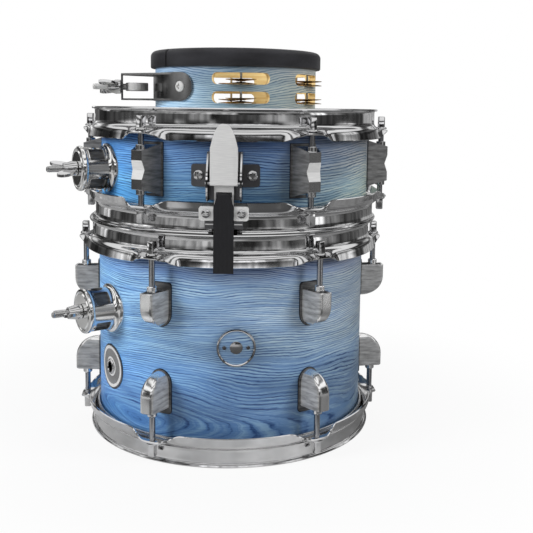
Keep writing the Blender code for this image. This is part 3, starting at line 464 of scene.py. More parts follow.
def film_finish():
    """Coated drum film, with the fine grit of the coating."""
    tree = Finish("coated_film")
    grit = tree.noise(tree.place((900, 900, 900)))
    colour = tree.patches(
        (14, 14, 14), [(0.3, srgb(226, 226, 221)), (0.7, srgb(240, 240, 237))], detail=3.0,
    )
    return tree.wear(colour, tree.ramp(grit, [(0.3, 0.5), (0.7, 0.62)]), (grit, 0.00008, 0.4))


def brass_finish():
    """Hammered brass."""
    tree = Finish("hammered_brass")
    dents = tree.add("ShaderNodeTexVoronoi", feature="SMOOTH_F1")
    tree.put(dents.inputs["Vector"], tree.place((1, 1, 1)))
    tree.put(dents.inputs["Scale"], 520.0)
    colour = tree.patches((130, 130, 130), [(0.35, (0.4, 0.25, 0.09)), (0.7, (0.72, 0.52, 0.24))])
    return tree.wear(colour, 0.24, (dents.outputs["Distance"], 0.0002, 0.5), 1.0)


# The tones of each ash are painted shade and sheen from left to right; the top of its levels carries the
# painted shadow under the hoop
tom_ash = stained_ash(
    "tom_ash",
    stains=(srgb(42, 76, 128), srgb(115, 151, 195), srgb(164, 194, 219)),
    loop_place=(-0.02, 0.03), loop_stretch=0.16, levels=(0.01, 0.188),
    tones=[(0.0, (0.8, 1.11, 1.22)), (0.3, (1.03, 1.08, 1.06)), (0.5, (0.86, 0.81, 0.76)),
           (0.7, (1.08, 0.94, 0.82)), (1.0, (0.92, 0.68, 0.5))],
)
snare_ash = stained_ash(
    "snare_ash",
    stains=(srgb(34, 70, 116), srgb(118, 158, 198), srgb(166, 198, 222)),
    loop_place=(0.05, 0.33), loop_stretch=0.1, levels=(0.0, 0.291),
    tones=[(0.0, (0.42, 1.18, 1.6)), (0.3, (0.64, 0.86, 0.95)), (0.62, (0.49, 0.59, 0.65)),
           (1.0, (1.3, 0.92, 0.55))],
)
ring_ash = stained_ash(
    "ring_ash",
    stains=(srgb(80, 114, 150), srgb(156, 181, 203), srgb(192, 209, 220)),
    loop_place=(0.02, 0.42), loop_stretch=0.1, levels=(0.0, 0.4),
    tones=[(0.2, (1.0, 1.16, 1.26)), (0.36, (1.0, 1.1, 1.15)), (0.5, (0.76, 0.84, 0.83)),
           (0.8, (0.82, 0.65, 0.46))],
)
maple = maple_finish()
chrome = metal_finish("chrome_plate", (0.7, 0.7, 0.705), 0.05, 0.1, 0.0004)
steel = metal_finish("bright_steel", (0.62, 0.62, 0.62), 0.16, 0.26)
dark_steel = metal_finish("dark_steel", (0.2, 0.2, 0.21), 0.25, 0.35)
rod_plate = metal_finish("rod_plate", (0.4, 0.405, 0.42), 0.1, 0.18)
mount_plate = metal_finish("mount_plate", (0.94, 0.94, 0.93), 0.06, 0.12, 0.0004)
cast_front = metal_finish("cast_front", (0.95, 0.95, 0.95), 0.12, 0.22, 0.0012)
# The cast finishes below are darker copies of the plating: painted shade on the lugs' sides and feet and
# inside the mounts
shaded_lug_side = shaded_cast_finish("shaded_lug_side", 0.25, 0.5)
shaded_snare_lug_side = shaded_cast_finish("shaded_snare_lug_side", 0.12, 0.27)
grey_plate = metal_finish("grey_plate", (0.34, 0.34, 0.34), 0.12, 0.26)
shaded_plating = shaded_cast_finish("shaded_plating", 0.07, 0.2)
satin = lever_finish()
rubber = rubber_finish()
webbing = strap_finish()
film = film_finish()
brass = brass_finish()


# Mesh helpers


def to_mesh(shape):
    bmesh.ops.remove_doubles(shape, verts=shape.verts, dist=1e-7)
    bmesh.ops.recalc_face_normals(shape, faces=shape.faces)
    mesh = bpy.data.meshes.new("shape")
    shape.to_mesh(mesh)
    shape.free()
    return mesh


def loft(rings, loop=False, caps=True):
    """Faces between rings of points that each close on themselves."""
    shape = bmesh.new()
    rows = [[shape.verts.new(point) for point in ring] for ring in rings]
    pairs = list(zip(rows, rows[1:]))
    if loop:
        pairs.append((rows[-1], rows[0]))
    for first, second in pairs:
        for index in range(len(first)):
            after = (index + 1) % len(first)
            shape.faces.new((first[index], first[after], second[after], second[index]))
    if caps and not loop:
        shape.faces.new(rows[0])
        shape.faces.new(rows[-1])
    return to_mesh(shape)


def axis_place(axis, first, second, along):
    return {"X": (along, first, second), "Y": (first, along, second), "Z": (first, second, along)}[axis]


def turned(profile, steps, axis="Z"):
    """A solid of revolution from (radius, height) points, closed on itself or on the axis."""
    on_axis = profile[0][0] == 0 and profile[-1][0] == 0
    rings = []
    for radius, height in profile:
        ring = []
        for step in range(steps):
            angle = 2 * math.pi * step / steps
            ring.append(axis_place(axis, radius * math.cos(angle), radius * math.sin(angle), height))
        rings.append(ring)
    return loft(rings, loop=not on_axis, caps=False)


def rod(radius, low, high, steps, axis="Z"):
    return turned([(0, low), (radius, low), (radius, high), (0, high)], steps, axis)


def polar(radius, angle, height):
    return (radius * math.cos(angle), radius * math.sin(angle), height)


def prism(outline, low, high, axis):
    rings = []
    for level in (low, high):
        rings.append([axis_place(axis, first, second, level) for first, second in outline])
    return loft(rings)


def block(low, high):
    outline = [(low[0], low[1]), (high[0], low[1]), (high[0], high[1]), (low[0], high[1])]
    return prism(outline, low[2], high[2], "Z")


def arc(centre, radii, start, end, steps):
    points = []
    for step in range(steps + 1):
        angle = math.radians(start + (end - start) * step / steps)
        points.append((centre[0] + radii[0] * math.cos(angle), centre[1] + radii[1] * math.sin(angle)))
    return points


def rounded_outline(half_width, half_height, corner, steps=5, centre=(0, 0)):
    points = []
    for sign_x, sign_y, start in ((1, 1, 0), (-1, 1, 90), (-1, -1, 180), (1, -1, 270)):
        middle = (centre[0] + sign_x * (half_width - corner), centre[1] + sign_y * (half_height - corner))
        points += arc(middle, (corner, corner), start, start + 90, steps)
    return points


def moved(mesh, offset=(0, 0, 0), turn=0.0, axis="Z"):
    copy = mesh.copy()
    copy.transform(Matrix.Translation(Vector(offset)) @ Matrix.Rotation(math.radians(turn), 4, axis))
    return copy


def gathered(*meshes):
    """One mesh of several bodies. A body may come as (mesh, material index)."""
    shape = bmesh.new()
    for entry in meshes:
        mesh, index = entry if isinstance(entry, tuple) else (entry, None)
        before = len(shape.faces)
        shape.from_mesh(mesh)
        shape.faces.ensure_lookup_table()
        if index is not None:
            for face in shape.faces[before:]:
                face.material_index = index
    result = bpy.data.meshes.new("shape")
    shape.to_mesh(result)
    shape.free()
    return result


def cut(base, *tools):
    holder = bpy.data.objects.new("holder", base)
    bpy.context.scene.collection.objects.link(holder)
    helpers = [holder]
    for tool in tools:
        helper = bpy.data.objects.new("helper", tool)
        bpy.context.scene.collection.objects.link(helper)
        helpers.append(helper)
        modifier = holder.modifiers.new("cut", "BOOLEAN")
        modifier.operation = "DIFFERENCE"
        modifier.object = helper
    graph = bpy.context.evaluated_depsgraph_get()
    result = bpy.data.meshes.new_from_object(holder.evaluated_get(graph))
    for helper in helpers:
        bpy.data.objects.remove(helper)
    return result


def bent(mesh, radius):
    """Wraps a flat fitting, drawn with +X outwards, round a wall of this radius."""
    for point in mesh.vertices:
        reach, angle = radius + point.co.x, point.co.y / radius
        point.co.x = reach * math.cos(angle) - radius
        point.co.y = reach * math.sin(angle)
    return mesh


def plate(columns, low, high):
    """A plate between x = low and x = high, from (y, lowest z, highest z) columns."""
    rings = []
    for across, bottom, top in columns:
        corners = ((low, bottom), (high, bottom), (high, top), (low, top))
        rings.append([(out, across, height) for out, height in corners])
    return loft(rings)


def outline_columns(outline, count):
    """Columns across a convex outline of (y, z) points."""
    left = min(point[0] for point in outline)
    right = max(point[0] for point in outline)
    columns = []
    for step in range(count + 1):
        share = 0.5 - 0.5 * math.cos(math.pi * (0.02 + 0.96 * step / count))
        across = left + (right - left) * share
        heights = []
        for first, second in zip(outline, outline[1:] + outline[:1]):
            if min(first[0], second[0]) <= across <= max(first[0], second[0]) and first[0] != second[0]:
                part = (across - first[0]) / (second[0] - first[0])
                heights.append(first[1] + part * (second[1] - first[1]))
        columns.append((across, min(heights), max(heights)))
    return columns


def screw_head(radius, height, start):
    """A pan head on a face at x = start, with a crossed recess."""
    profile = [(0, start - 0.0006), (radius, start - 0.0006), (radius, start + 0.25 * height)]
    profile += arc((0, start + 0.25 * height), (radius, 0.75 * height), 15, 80, 6)
    profile.append((0, start + height))
    head = turned(profile, 28, "X")
    arm = 0.52 * radius
    slot = 0.17 * radius
    depth = start + 0.35 * height
    top = start + 2 * height
    first = block((depth, -arm, -slot), (top, arm, slot))
    second = block((depth, -slot, -arm), (top, slot, arm))
    return cut(head, first, second)


# Placing


def lifted(height):
    return Matrix.Translation((0, 0, height))


upside_down = Matrix.Rotation(math.pi, 4, "X")


def upright(node, height, turn):
    """The frame that stands on a round node's axis."""
    low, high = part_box(node)
    middle = ((low.x + high.x) / 2, (low.y + high.y) / 2, height)
    return Matrix.Translation(middle) @ Matrix.Rotation(math.radians(turn), 4, "Z")


tom_frame = upright("tom_shell", 0.0, tom_turn)
snare_frame = upright("snare_shell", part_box("snare_bottom_hoop")[0].z, snare_turn)
ring_frame = upright("jingle_ring_shell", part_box("jingle_ring_shell")[0].z, ring_turn)


def on_wall(base, radius, angle, height, roll=0.0):
    """A frame on a round wall with +X outwards, rolled about that direction."""
    turn = Matrix.Rotation(math.radians(angle), 4, "Z")
    outward = Matrix.Translation((radius, 0, height))
    return base @ turn @ outward @ Matrix.Rotation(math.radians(roll), 4, "X")


def piece(name, mesh, node, finishes, place, bevel=0.0, sharp=32, hides=True, rim=-1):
    """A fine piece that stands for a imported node, or rides with it."""
    mesh.transform(place)
    for finish in finishes:
        mesh.materials.append(finish)
    mesh.shade_smooth()
    mesh.set_sharp_from_angle(angle=math.radians(sharp))
    made = bpy.data.objects.new(name, mesh)
    bpy.context.scene.collection.objects.link(made)
    if bevel:
        edge = made.modifiers.new("edges", "BEVEL")
        edge.width = bevel
        edge.segments = 3
        edge.limit_method = "ANGLE"
        edge.angle_limit = math.radians(sharp)
        edge.harden_normals = True
        edge.use_clamp_overlap = True
        edge.material = rim
    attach(made, frame["nodes"][node]["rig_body"])
    if hides:
        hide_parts(node)
    return made


def lug_angles():
    return [-60 + 60 * index for index in range(6)]


def smooth_step(value):
    value = min(1.0, max(0.0, value))
    return value * value * (3 - 2 * value)


# Shells


def shell_mesh(depth):
    inner = shell_radius - shell_wall
    peak = shell_radius - bearing_inset
    edge = [(inner, 0.004), (peak - 0.0006, 0.0004), (peak, 0.0001), (peak + 0.0008, 0.0002)]
    edge += [(shell_radius - 0.0006, 0.0008), (shell_radius, 0.0018)]
    profile = edge + [(radius, depth - height) for radius, height in reversed(edge)]
    return turned(profile, round_steps)


def bare_inside(mesh, radius):
    """Bare wood on every face that isn't on the outer wall."""
    for face in mesh.polygons:
        middle = face.center
        outward = (face.normal.x * middle.x + face.normal.y * middle.y) / max(middle.xy.length, 1e-6)
        on_outside = min(mesh.vertices[corner].co.xy.length for corner in face.vertices) > radius - 0.0009
        face.material_index = 0 if outward > 0.5 and on_outside else 1
    return mesh


def add_shells():
    hole = rod(vent_hole_radius, -0.02, 0.02, 32, "X")
    hole.transform(on_wall(Matrix(), shell_radius, mount_angle, vent_height - hoop_rise))
    tom = bare_inside(cut(shell_mesh(tom_depth), hole), shell_radius)
    piece("tom_shell_wood", tom, "tom_shell", [tom_ash, maple], tom_frame @ lifted(hoop_rise))
    snare = bare_inside(shell_mesh(snare_depth), shell_radius)
    piece(
        "snare_shell_wood", snare, "snare_shell", [snare_ash, maple], snare_frame @ lifted(hoop_rise),
    )


# Heads


def head_mesh():
    """Film with its collar, and the metal flesh hoop that it is folded into."""
    top_line = [(0, film_top), (0.06, film_top), (0.1215, film_top), (0.124, film_top - 0.0001)]
    top_line += [(0.1255, 0.0003), (0.1265, -0.0006), (0.1271, -0.0019), (0.1273, -0.0036)]
    under_line = [
        (0.12715, -0.0036), (0.1268, -0.0012), (0.1262, 0.0), (0.125, 0.0003), (0.06, 0.0003),
        (0, 0.0003),
    ]
    skin = turned(top_line + under_line, round_steps)
    section = rounded_outline(0.0012, 0.0038, 0.0009, 4, (0.12835, -0.0072))
    flesh = turned(section, round_steps)
    return gathered((skin, 0), (flesh, 1))


def add_heads(base, names, depth):
    places = (lifted(hoop_rise + depth), lifted(hoop_rise) @ upside_down)
    for name, place in zip(names, places):
        piece(name + "_skin", head_mesh(), name, [film, steel], base @ place, sharp=50)


# Hoops and tension rods


def sheet_section(line, thickness):
    """Both sides of a bent sheet about its middle line, with rounded ends."""
    left, right = [], []
    for index, point in enumerate(line):
        before = Vector(line[max(0, index - 1)])
        after = Vector(line[min(len(line) - 1, index + 1)])
        along = (after - before).normalized()
        side = Vector((-along.y, along.x)) * thickness / 2
        inwards = {0: 0.2, len(line) - 1: -0.2}.get(index, 0)
        shorten = along * (thickness * inwards)
        middle = Vector(point)
        left.append(tuple(middle + side + shorten))
        right.append(tuple(middle - side + shorten))
    return left + [line[-1]] + right[::-1] + [line[0]]


def hoop_mesh():
    rings = []
    offsets = list(range(-12, 13)) + list(range(15, 46, 3))
    for centre in lug_angles():
        for offset in offsets:
            span = ear_half_angle - ear_flat_half_angle
            ear = 1 - smooth_step((abs(offset) - ear_flat_half_angle) / span)
            skirt = []
            for down, out in zip(skirt_line, ear_line):
                skirt.append((down[0] + (out[0] - down[0]) * ear, down[1] + (out[1] - down[1]) * ear))
            turn = math.radians(centre + offset)
            section = sheet_section(hoop_top_line + skirt, hoop_sheet)
            rings.append([polar(radius, turn, height) for radius, height in section])
    return loft(rings, loop=True)


def snare_gates(hoop):
    low = hoop_top_line[5][0] - 0.0025
    front = block((-gate_half_width, -rod_circle, -gate_height), (gate_half_width, -low, 0.005))
    return cut(hoop, front, moved(front, turn=180))


def tension_rod(length):
    """Rod with its square key head and washer, hanging from the rim's height."""
    shaft = rod(rod_radius, -key_head_bottom, -length, 20)
    half = key_head_width / 2
    rings = []
    for height, share in ((-key_head_bottom, 1.0), (-key_head_top - 0.0006, 0.96), (-key_head_top, 0.8)):
        outline = rounded_outline(half * share, half * share, 0.0009 * share, 3)
        rings.append([(x, y, height) for x, y in outline])
    head = loft(rings)
    low = -key_head_bottom - 0.0014
    top = -key_head_bottom + 0.0004
    collar = turned(
        [(0, low), (washer_radius, low), (washer_radius, low + 0.0008), (0.0044, top), (0, top)], 28,
    )
    return gathered(shaft, (head, 1), (collar, 1))


def add_hoop(node, place, lug_to_rim, gates=False):
    hoop = hoop_mesh()
    if gates:
        hoop = snare_gates(hoop)
    piece(node + "_steel", hoop, node, [chrome], place, sharp=40)
    hanging = moved(tension_rod(lug_to_rim + rod_past_lug), (rod_circle, 0, 0))
    rods = gathered(*[moved(hanging, turn=angle) for angle in lug_angles()])
    piece(node + "_rods", rods, node, [rod_plate, chrome], place, sharp=40, hides=False)


def add_hoops():
    lug_to_rim = (snare_height - snare_lug_ridge_height) / 2
    add_hoop("tom_top_hoop", tom_frame @ lifted(tom_height), upper_lug_to_rim)
    add_hoop("tom_bottom_hoop", tom_frame @ upside_down, lower_lug_to_rim)
    add_hoop("snare_top_hoop", snare_frame @ lifted(snare_height), lug_to_rim)
    add_hoop("snare_bottom_hoop", snare_frame @ upside_down, lug_to_rim, True)


# Lugs


def lug_ring(height, depth, wide, root, corner):
    """One level of a tom lug: a tapered outline with round front corners."""
    face = wide * lug_face_half_width / lug_root_half_width
    depth = max(depth, root + 0.0008)
    corner = min(corner, 0.45 * (depth - root), 0.6 * face)
    points = [(root, wide)]
    points += arc((depth - corner, face - corner), (corner, corner), 90, 0, 6)
    points += arc((depth - corner, corner - face), (corner, corner), 0, -90, 6)
    points.append((root, -wide))
    return [(x, y, height) for x, y in points]


def tom_lug_body():
    root = 0.0009
    tail = lug_length - lug_straight
    mouth = (lug_depth - mouth_wall, lug_root_half_width - mouth_wall, root + mouth_wall, 0.0015)
    rings = [lug_ring(-mouth_depth, *mouth), lug_ring(-0.0004, *mouth)]
    rings.append(lug_ring(0.0, lug_depth - 0.0006, lug_root_half_width - 0.0006, root, 0.0024))
    rings.append(lug_ring(-0.0006, lug_depth, lug_root_half_width, root, 0.0028))
    rings.append(lug_ring(-lug_straight * 0.5, lug_depth, lug_root_half_width, root, 0.0028))
    for step in range(15):
        share = math.sin(math.pi / 2 * step / 14)
        depth = root + (lug_depth - root) * math.sqrt(max(0.0, 1 - share**2.2))
        wide = lug_root_half_width * math.sqrt(max(0.04, 1 - share**4.5))
        rings.append(lug_ring(-lug_straight - tail * share, depth, wide, root, 0.0028 + 0.0012 * share))
    return loft(rings)


def shaded_sides(mesh):
    """The sides of a casting take a darker copy of its plating: painted shade."""
    for face in mesh.polygons:
        if abs(face.normal.y) > 0.72:
            face.material_index = 2
    return mesh


def lug_flange(extra, low, high):
    """The curved foot of a tom lug: square above, round below."""
    wide = flange_half_width + extra
    top = flange_over_mouth + extra
    low_end = -lug_length - flange_under_tail - extra
    outline = arc((wide - 0.003, top - 0.003), (0.003, 0.003), 0, 90, 4)
    outline += arc((0.003 - wide, top - 0.003), (0.003, 0.003), 90, 180, 4)
    outline += arc((0, low_end + wide * 1.15), (wide, wide * 1.15), 180, 360, 16)
    return bent(plate(outline_columns(outline, 18), low, high), shell_radius)


def tom_lug_mesh():
    low = -mouth_depth - 0.001
    swivel = turned([
        (0, swivel_height), (rod_radius + 0.0002, swivel_height), (swivel_radius - 0.0008, swivel_height),
        (swivel_radius, swivel_height - 0.0008), (swivel_radius, low), (0, low),
    ], 28)
    swivel = moved(swivel, (rod_circle - shell_radius, 0, 0))
    flange = lug_flange(0.0, 0.0004, flange_thickness)
    gasket = lug_flange(0.0006, 0.00005, 0.0006)
    return gathered(shaded_sides(tom_lug_body()), (flange, 3), (swivel, 0), (gasket, 1))


def square_foot(half, reach, low, high):
    """A rectangular foot that hugs the shell."""
    columns = [(across * half / 6, -reach, reach) for across in range(-6, 7)]
    return bent(plate(columns, low, high), shell_radius)


def snare_lug_mesh():
    root = 0.0008
    top = snare_lug_height / 2
    ridge = snare_lug_ridge_height / 2
    outline = [
        (root, -top), (snare_lug_depth, -ridge), (snare_lug_depth, -snare_lug_notch),
        (snare_lug_depth - snare_lug_notch_depth, 0), (snare_lug_depth, snare_lug_notch),
        (snare_lug_depth, ridge), (root, top),
    ]
    body = prism(outline, -snare_lug_root_half_width, snare_lug_root_half_width, "Y")
    for point in body.vertices:
        share = (point.co.x - root) / (snare_lug_depth - root)
        point.co.y *= 1 + (snare_lug_ridge_half_width / snare_lug_root_half_width - 1) * share
    half = snare_lug_root_half_width + 0.001
    reach = top + 0.001
    flange = square_foot(half, reach, 0.0004, 0.0015)
    gasket = square_foot(half + 0.0004, reach + 0.0004, 0.00005, 0.0006)
    ferrules = []
    for sign, flip in ((-1, upside_down), (1, Matrix())):
        ring = turned([(0, 0.0035), (0.004, 0.0035), (0.0044, 0.003), (0.0044, -0.006), (0, -0.006)], 28)
        ring.transform(Matrix.Translation((rod_circle - shell_radius, 0, sign * (ridge + 0.0012))) @ flip)
        ferrules.append((ring, 0))
    body = shaded_sides(body)
    # Flat fronts take a darker grey plating, a painted reflection, and the notch facets a pale satin, a
    # painted highlight
    for face in body.polygons:
        if face.normal.x > 0.99:
            face.material_index = 4
        elif face.normal.x > 0.8:
            face.material_index = 5
    return gathered(body, (flange, 3), *ferrules, (gasket, 1))


def add_lugs():
    # The lugs' sides and feet get painted shade; the snare lugs' fronts get a painted dark reflection and
    # their notches a painted highlight
    tom_finishes = [cast_front, rubber, shaded_lug_side, shaded_plating]
    snare_finishes = [chrome, rubber, shaded_snare_lug_side, shaded_plating, grey_plate, satin]
    tom, snare = tom_lug_mesh(), snare_lug_mesh()
    rows = (
        ("tom_upper_lug", tom, tom_finishes, tom_frame, tom_height - upper_lug_to_rim, 0, 0.0, 38),
        ("tom_lower_lug", tom, tom_finishes, tom_frame, lower_lug_to_rim, 180, 0.0, 38),
        ("snare_lug", snare, snare_finishes, snare_frame, snare_height / 2, 0, 0.0005, 10),
    )
    for row, mesh, finishes, base, height, roll, bevel, sharp in rows:
        for index, angle in enumerate(lug_angles()):
            node = f"{row}_{index + 1}"
            place = on_wall(base, shell_radius, angle, height, roll)
            piece(node + "_cast", mesh.copy(), node, finishes, place, bevel, sharp)


# Rod mounts, eye bolts and wing nuts


def mount_mesh():
    cap_start = mount_length - mount_cap_length
    profile = [
        (0, 0.002), (0.015, 0.0016), (mount_flange_radius, 0.0), (mount_flange_radius, 0.0012),
        (0.0217, 0.0026), (0.02, 0.0034),
        (0.0192, 0.0044), (0.0189, 0.006), (0.0188, cap_start - 0.0016), (0.019, cap_start - 0.0006),
        (0.0197, cap_start), (mount_cap_radius, cap_start + 0.0006),
        (mount_cap_radius, mount_length - 0.0024),
        (0.0195, mount_length - 0.0012), (0.0186, mount_length - 0.0006), (0.0172, mount_length - 0.0004),
        (0.0166, mount_length - 0.0012), (0.016, mount_length - 0.0012), (0.015, mount_length),
        (0, mount_length),
    ]
    body = turned(profile, 72, "X")
    for point in body.vertices:
        share = max(0.0, 1 - point.co.x / 0.006)
        point.co.x -= share * point.co.y**2 / (2 * shell_radius)
    tools = []
    for turn in (45, 135, 225, 315):
        window = prism(rounded_outline(0.0066, 0.0062, 0.0016, 4, (0.0144, 0.0)), 0.016, 0.026, "Y")
        tools.append(moved(window, turn=turn, axis="X"))
    hole = rod(rod_hole_radius, -0.03, 0.03, 32)
    tools.append(moved(hole, (rod_hole_from_shell, 0, 0)))
    side = rod_hole_radius + 0.0034
    low = (rod_hole_from_shell - side - 0.0025, -side, -0.0042)
    tools.append(block(low, (rod_hole_from_shell + side, side, 0.0042)))
    tools.append(rod(stem_radius + stem_slack, 0.012, 0.05, 24, "X"))
    body = cut(body, *tools)
    # The faces inside the windows and the hollow take the dark plating: painted shade
    for face in body.polygons:
        if 0.0065 < face.center.x < 0.023 and face.center.yz.length < 0.0184:
            face.material_index = 1
    return body


def eye_bolt_mesh(bore, outer, tip):
    half = eye_height / 2
    section = rounded_outline((outer - bore) / 2, half, 0.0008, 3, ((outer + bore) / 2, 0))
    eye = turned(section, 48)
    start = (bore + outer) / 2
    stem_line = [(0, start), (stem_radius, start)]
    thread_start = outer + 0.004
    turns = int((tip - 0.001 - thread_start) / 0.001)
    for index in range(turns):
        level = thread_start + index * 0.001
        stem_line += [(stem_radius, level), (stem_radius - 0.0004, level + 0.0005)]
    stem_line += [(stem_radius - 0.0002, tip - 0.001), (stem_radius - 0.001, tip), (0, tip)]
    return gathered(eye, turned(stem_line, 24, "X"))


def wing_nut_mesh():
    bore = stem_radius + 0.0004
    hub = turned([
        (bore, 0), (nut_hub_radius - 0.0004, 0), (nut_hub_radius, 0.0004),
        (nut_hub_radius, 0.4 * nut_hub_length), (nut_hub_radius - 0.0006, 0.55 * nut_hub_length),
        (0.0052, nut_hub_length - 0.0004), (0.0048, nut_hub_length), (bore, nut_hub_length),
    ], 36, "X")
    wing = [
        (0.0012, nut_hub_radius - 0.003), (0.0022, nut_hub_radius + 0.0004),
        (0.0046, nut_hub_radius + 0.0032),
        (0.35 * wing_length, 0.8 * wing_reach), (0.52 * wing_length, 0.93 * wing_reach),
        (0.72 * wing_length, wing_reach), (0.88 * wing_length, 0.995 * wing_reach),
        (wing_length, 0.9 * wing_reach),
        (0.985 * wing_length, 0.72 * wing_reach), (0.86 * wing_length, 0.52 * wing_reach),
        (nut_hub_length + 0.0005, 0.36 * wing_reach), (nut_hub_length - 0.002, nut_hub_radius - 0.003),
    ]
    half = wing_thickness / 2
    wings = [prism([(x, side * y) for x, y in wing], -half, half, "Z") for side in (-1, 1)]
    return gathered(hub, *wings)


def add_rod_clamp(prefix, base, radius, angle, height, eye, seat, nut_turn):
    bore, outer, centre = eye
    tip = seat + wing_length + stem_past_nut - centre
    bolt = eye_bolt_mesh(bore, outer, tip)
    place = on_wall(base, radius, angle, height)
    bolt_place = place @ Matrix.Translation((centre, 0, 0))
    plating = satin if prefix == "jingle_ring" else steel
    node = prefix + "_eye_bolt"
    piece(node + "_steel", bolt, node, [plating], bolt_place, sharp=40)
    node = prefix + "_wing_nut"
    nut_place = place @ Matrix.Translation((seat + wall_gap, 0, 0))
    nut_place = nut_place @ Matrix.Rotation(math.radians(nut_turn), 4, "X")
    piece(node + "_cast", wing_nut_mesh(), node, [chrome], nut_place, 0.0008, sharp=35)


def add_mounts():
    eye = (rod_hole_radius, rod_hole_radius + 0.003, rod_hole_from_shell)
    rows = (("tom", tom_frame, tom_mount_height, 5), ("snare", snare_frame, snare_mount_height, -20))
    for prefix, base, height, nut_turn in rows:
        place = on_wall(base, shell_radius, mount_angle, height)
        node = prefix + "_mount"
        piece(
            node + "_cast", mount_mesh(), node, [mount_plate, shaded_plating], place, 0.0004,
            sharp=35,
        )
        add_rod_clamp(prefix, base, shell_radius, mount_angle, height, eye, mount_length, nut_turn)


# Badges of the tom


def curved_disc(rings):
    """Turned about X from (radius, height) points, then wrapped round the shell."""
    return bent(turned(rings, 56, "X"), shell_radius)


def add_badges():
    outer = vent_badge_radius
    disc = curved_disc([
        (grommet_bore, 0.0002), (0.012, 0.0002), (outer - 0.0003, 0.0002), (outer, 0.0005),
        (outer - 0.0004, 0.001),
        (outer - 0.002, 0.0011), (outer - 0.0024, 0.0008), (0.014, 0.0008), (0.01, 0.0008),
        (grommet_bore, 0.0008),
    ])
    band = curved_disc([(0.0088, 0.00075), (0.016, 0.00075), (0.016, 0.00095), (0.0088, 0.00095)])
    tube = turned([
        (grommet_bore, -shell_wall), (0.0054, -shell_wall), (0.0054, 0.0008), (grommet_radius, 0.0008),
        (grommet_radius - 0.0001, 0.0016), (0.0062, 0.0023), (0.0055, 0.0024), (grommet_bore, 0.0018),
    ], 40, "X")
    place = on_wall(tom_frame, shell_radius, mount_angle, vent_height)
    rim = curved_disc([
        (outer - 0.0012, 0.0001), (outer + 0.0004, 0.0001), (outer + 0.0004, 0.0007),
        (outer - 0.0002, 0.0011), (outer - 0.0012, 0.0011),
    ])
    badge = gathered((disc, 0), (rim, 1), (band, 3), (tube, 2))
    piece(
        "tom_vent_badge_disc", badge, "tom_vent_badge", [satin, dark_steel, chrome, steel], place,
        sharp=30,
    )
    outer = medallion_radius
    medal = curved_disc([
        (0, 0.0003), (0.01, 0.0003), (outer, 0.0003), (outer, 0.0018), (outer - 0.0004, 0.0026),
        (outer - 0.0014, 0.0028),
        (outer - 0.0021, 0.0024), (outer - 0.0023, 0.0016), (0.0056, 0.0016), (0.0052, 0.0021),
        (0.0035, 0.0023), (0, 0.0024),
    ])
    field = curved_disc(
        [(0.0054, 0.0015), (outer - 0.0022, 0.0015), (outer - 0.0022, 0.0018), (0.0054, 0.0018)],
    )
    pins = []
    for side in (-1, 1):
        pin = turned(
            [(0, 0.001), (0.0016, 0.001), (0.0016, 0.0022), (0.0011, 0.0026), (0, 0.0027)], 20, "X",
        )
        pins.append((moved(pin, (0, side * 0.01, 0)), 2))
    place = on_wall(tom_frame, shell_radius, -90, medallion_height)
    medallion = gathered((medal, 0), (field, 1), *pins)
    finishes = [chrome, tom_ash, dark_steel]
    piece("tom_medallion_disc", medallion, "tom_medallion", finishes, place, sharp=30)


# Snare throw-off


def highlighted_fronts(mesh):
    """Faces that face outwards get bright plating, a painted highlight; the sides keep dark steel, painted
    shade.
    """
    for face in mesh.polygons:
        if face.normal.x > 0.3:
            face.material_index = 1
    return mesh


def foot_plate(half_width, half_height, corner, count):
    """A rounded foot that hugs the shell."""
    outline = rounded_outline(half_width, half_height, corner)
    return bent(plate(outline_columns(outline, count), wall_gap, foot_top), shell_radius)


def foot_screws(radius, height, from_middle, lift=0.0):
    """A screw on each side of a foot."""
    screws = []
    for across in (-from_middle, from_middle):
        drop = shell_radius - math.sqrt(shell_radius**2 - across**2)
        lean = Matrix.Rotation(across / shell_radius, 4, "Z")
        screw = screw_head(radius, height, foot_top)
        screw.transform(Matrix.Translation((-drop, across, lift)) @ lean)
        screws.append(screw)
    return screws


def strainer_base_mesh():
    foot = foot_plate(0.028, 0.0093, 0.0024, 28)
    inner = cheek_gap / 2
    cheek = [
        (-0.002, cheek_bottom), (cheek_reach - 0.0052, cheek_bottom), (cheek_reach - 0.0012, -0.0176),
        (cheek_reach, -0.014),
        (cheek_reach, 0.001), (cheek_reach - 0.0016, 0.004), (0.0098, 0.0182), (0.008, cheek_top),
        (-0.001, cheek_top),
    ]
    cheeks = [highlighted_fronts(prism(cheek, side * inner, side * (inner + 0.0014), "Y")) for side in (-1, 1)]
    back = block((0.0018, -inner - 0.0002, cheek_bottom), (0.0045, inner + 0.0002, cheek_top))
    pin_half = inner + 0.0022
    pin = moved(rod(pin_radius, -pin_half, pin_half, 20, "Y"), (hinge_reach, 0, -hinge_below_plate))
    guide = block((foot_top, -0.004, -0.0119), (0.0138, 0.004, 0.0095))
    bright = [(shape, 1) for shape in (pin, *foot_screws(0.0046, 0.002, 0.0215))]
    return gathered(foot, *cheeks, back, guide, *bright)


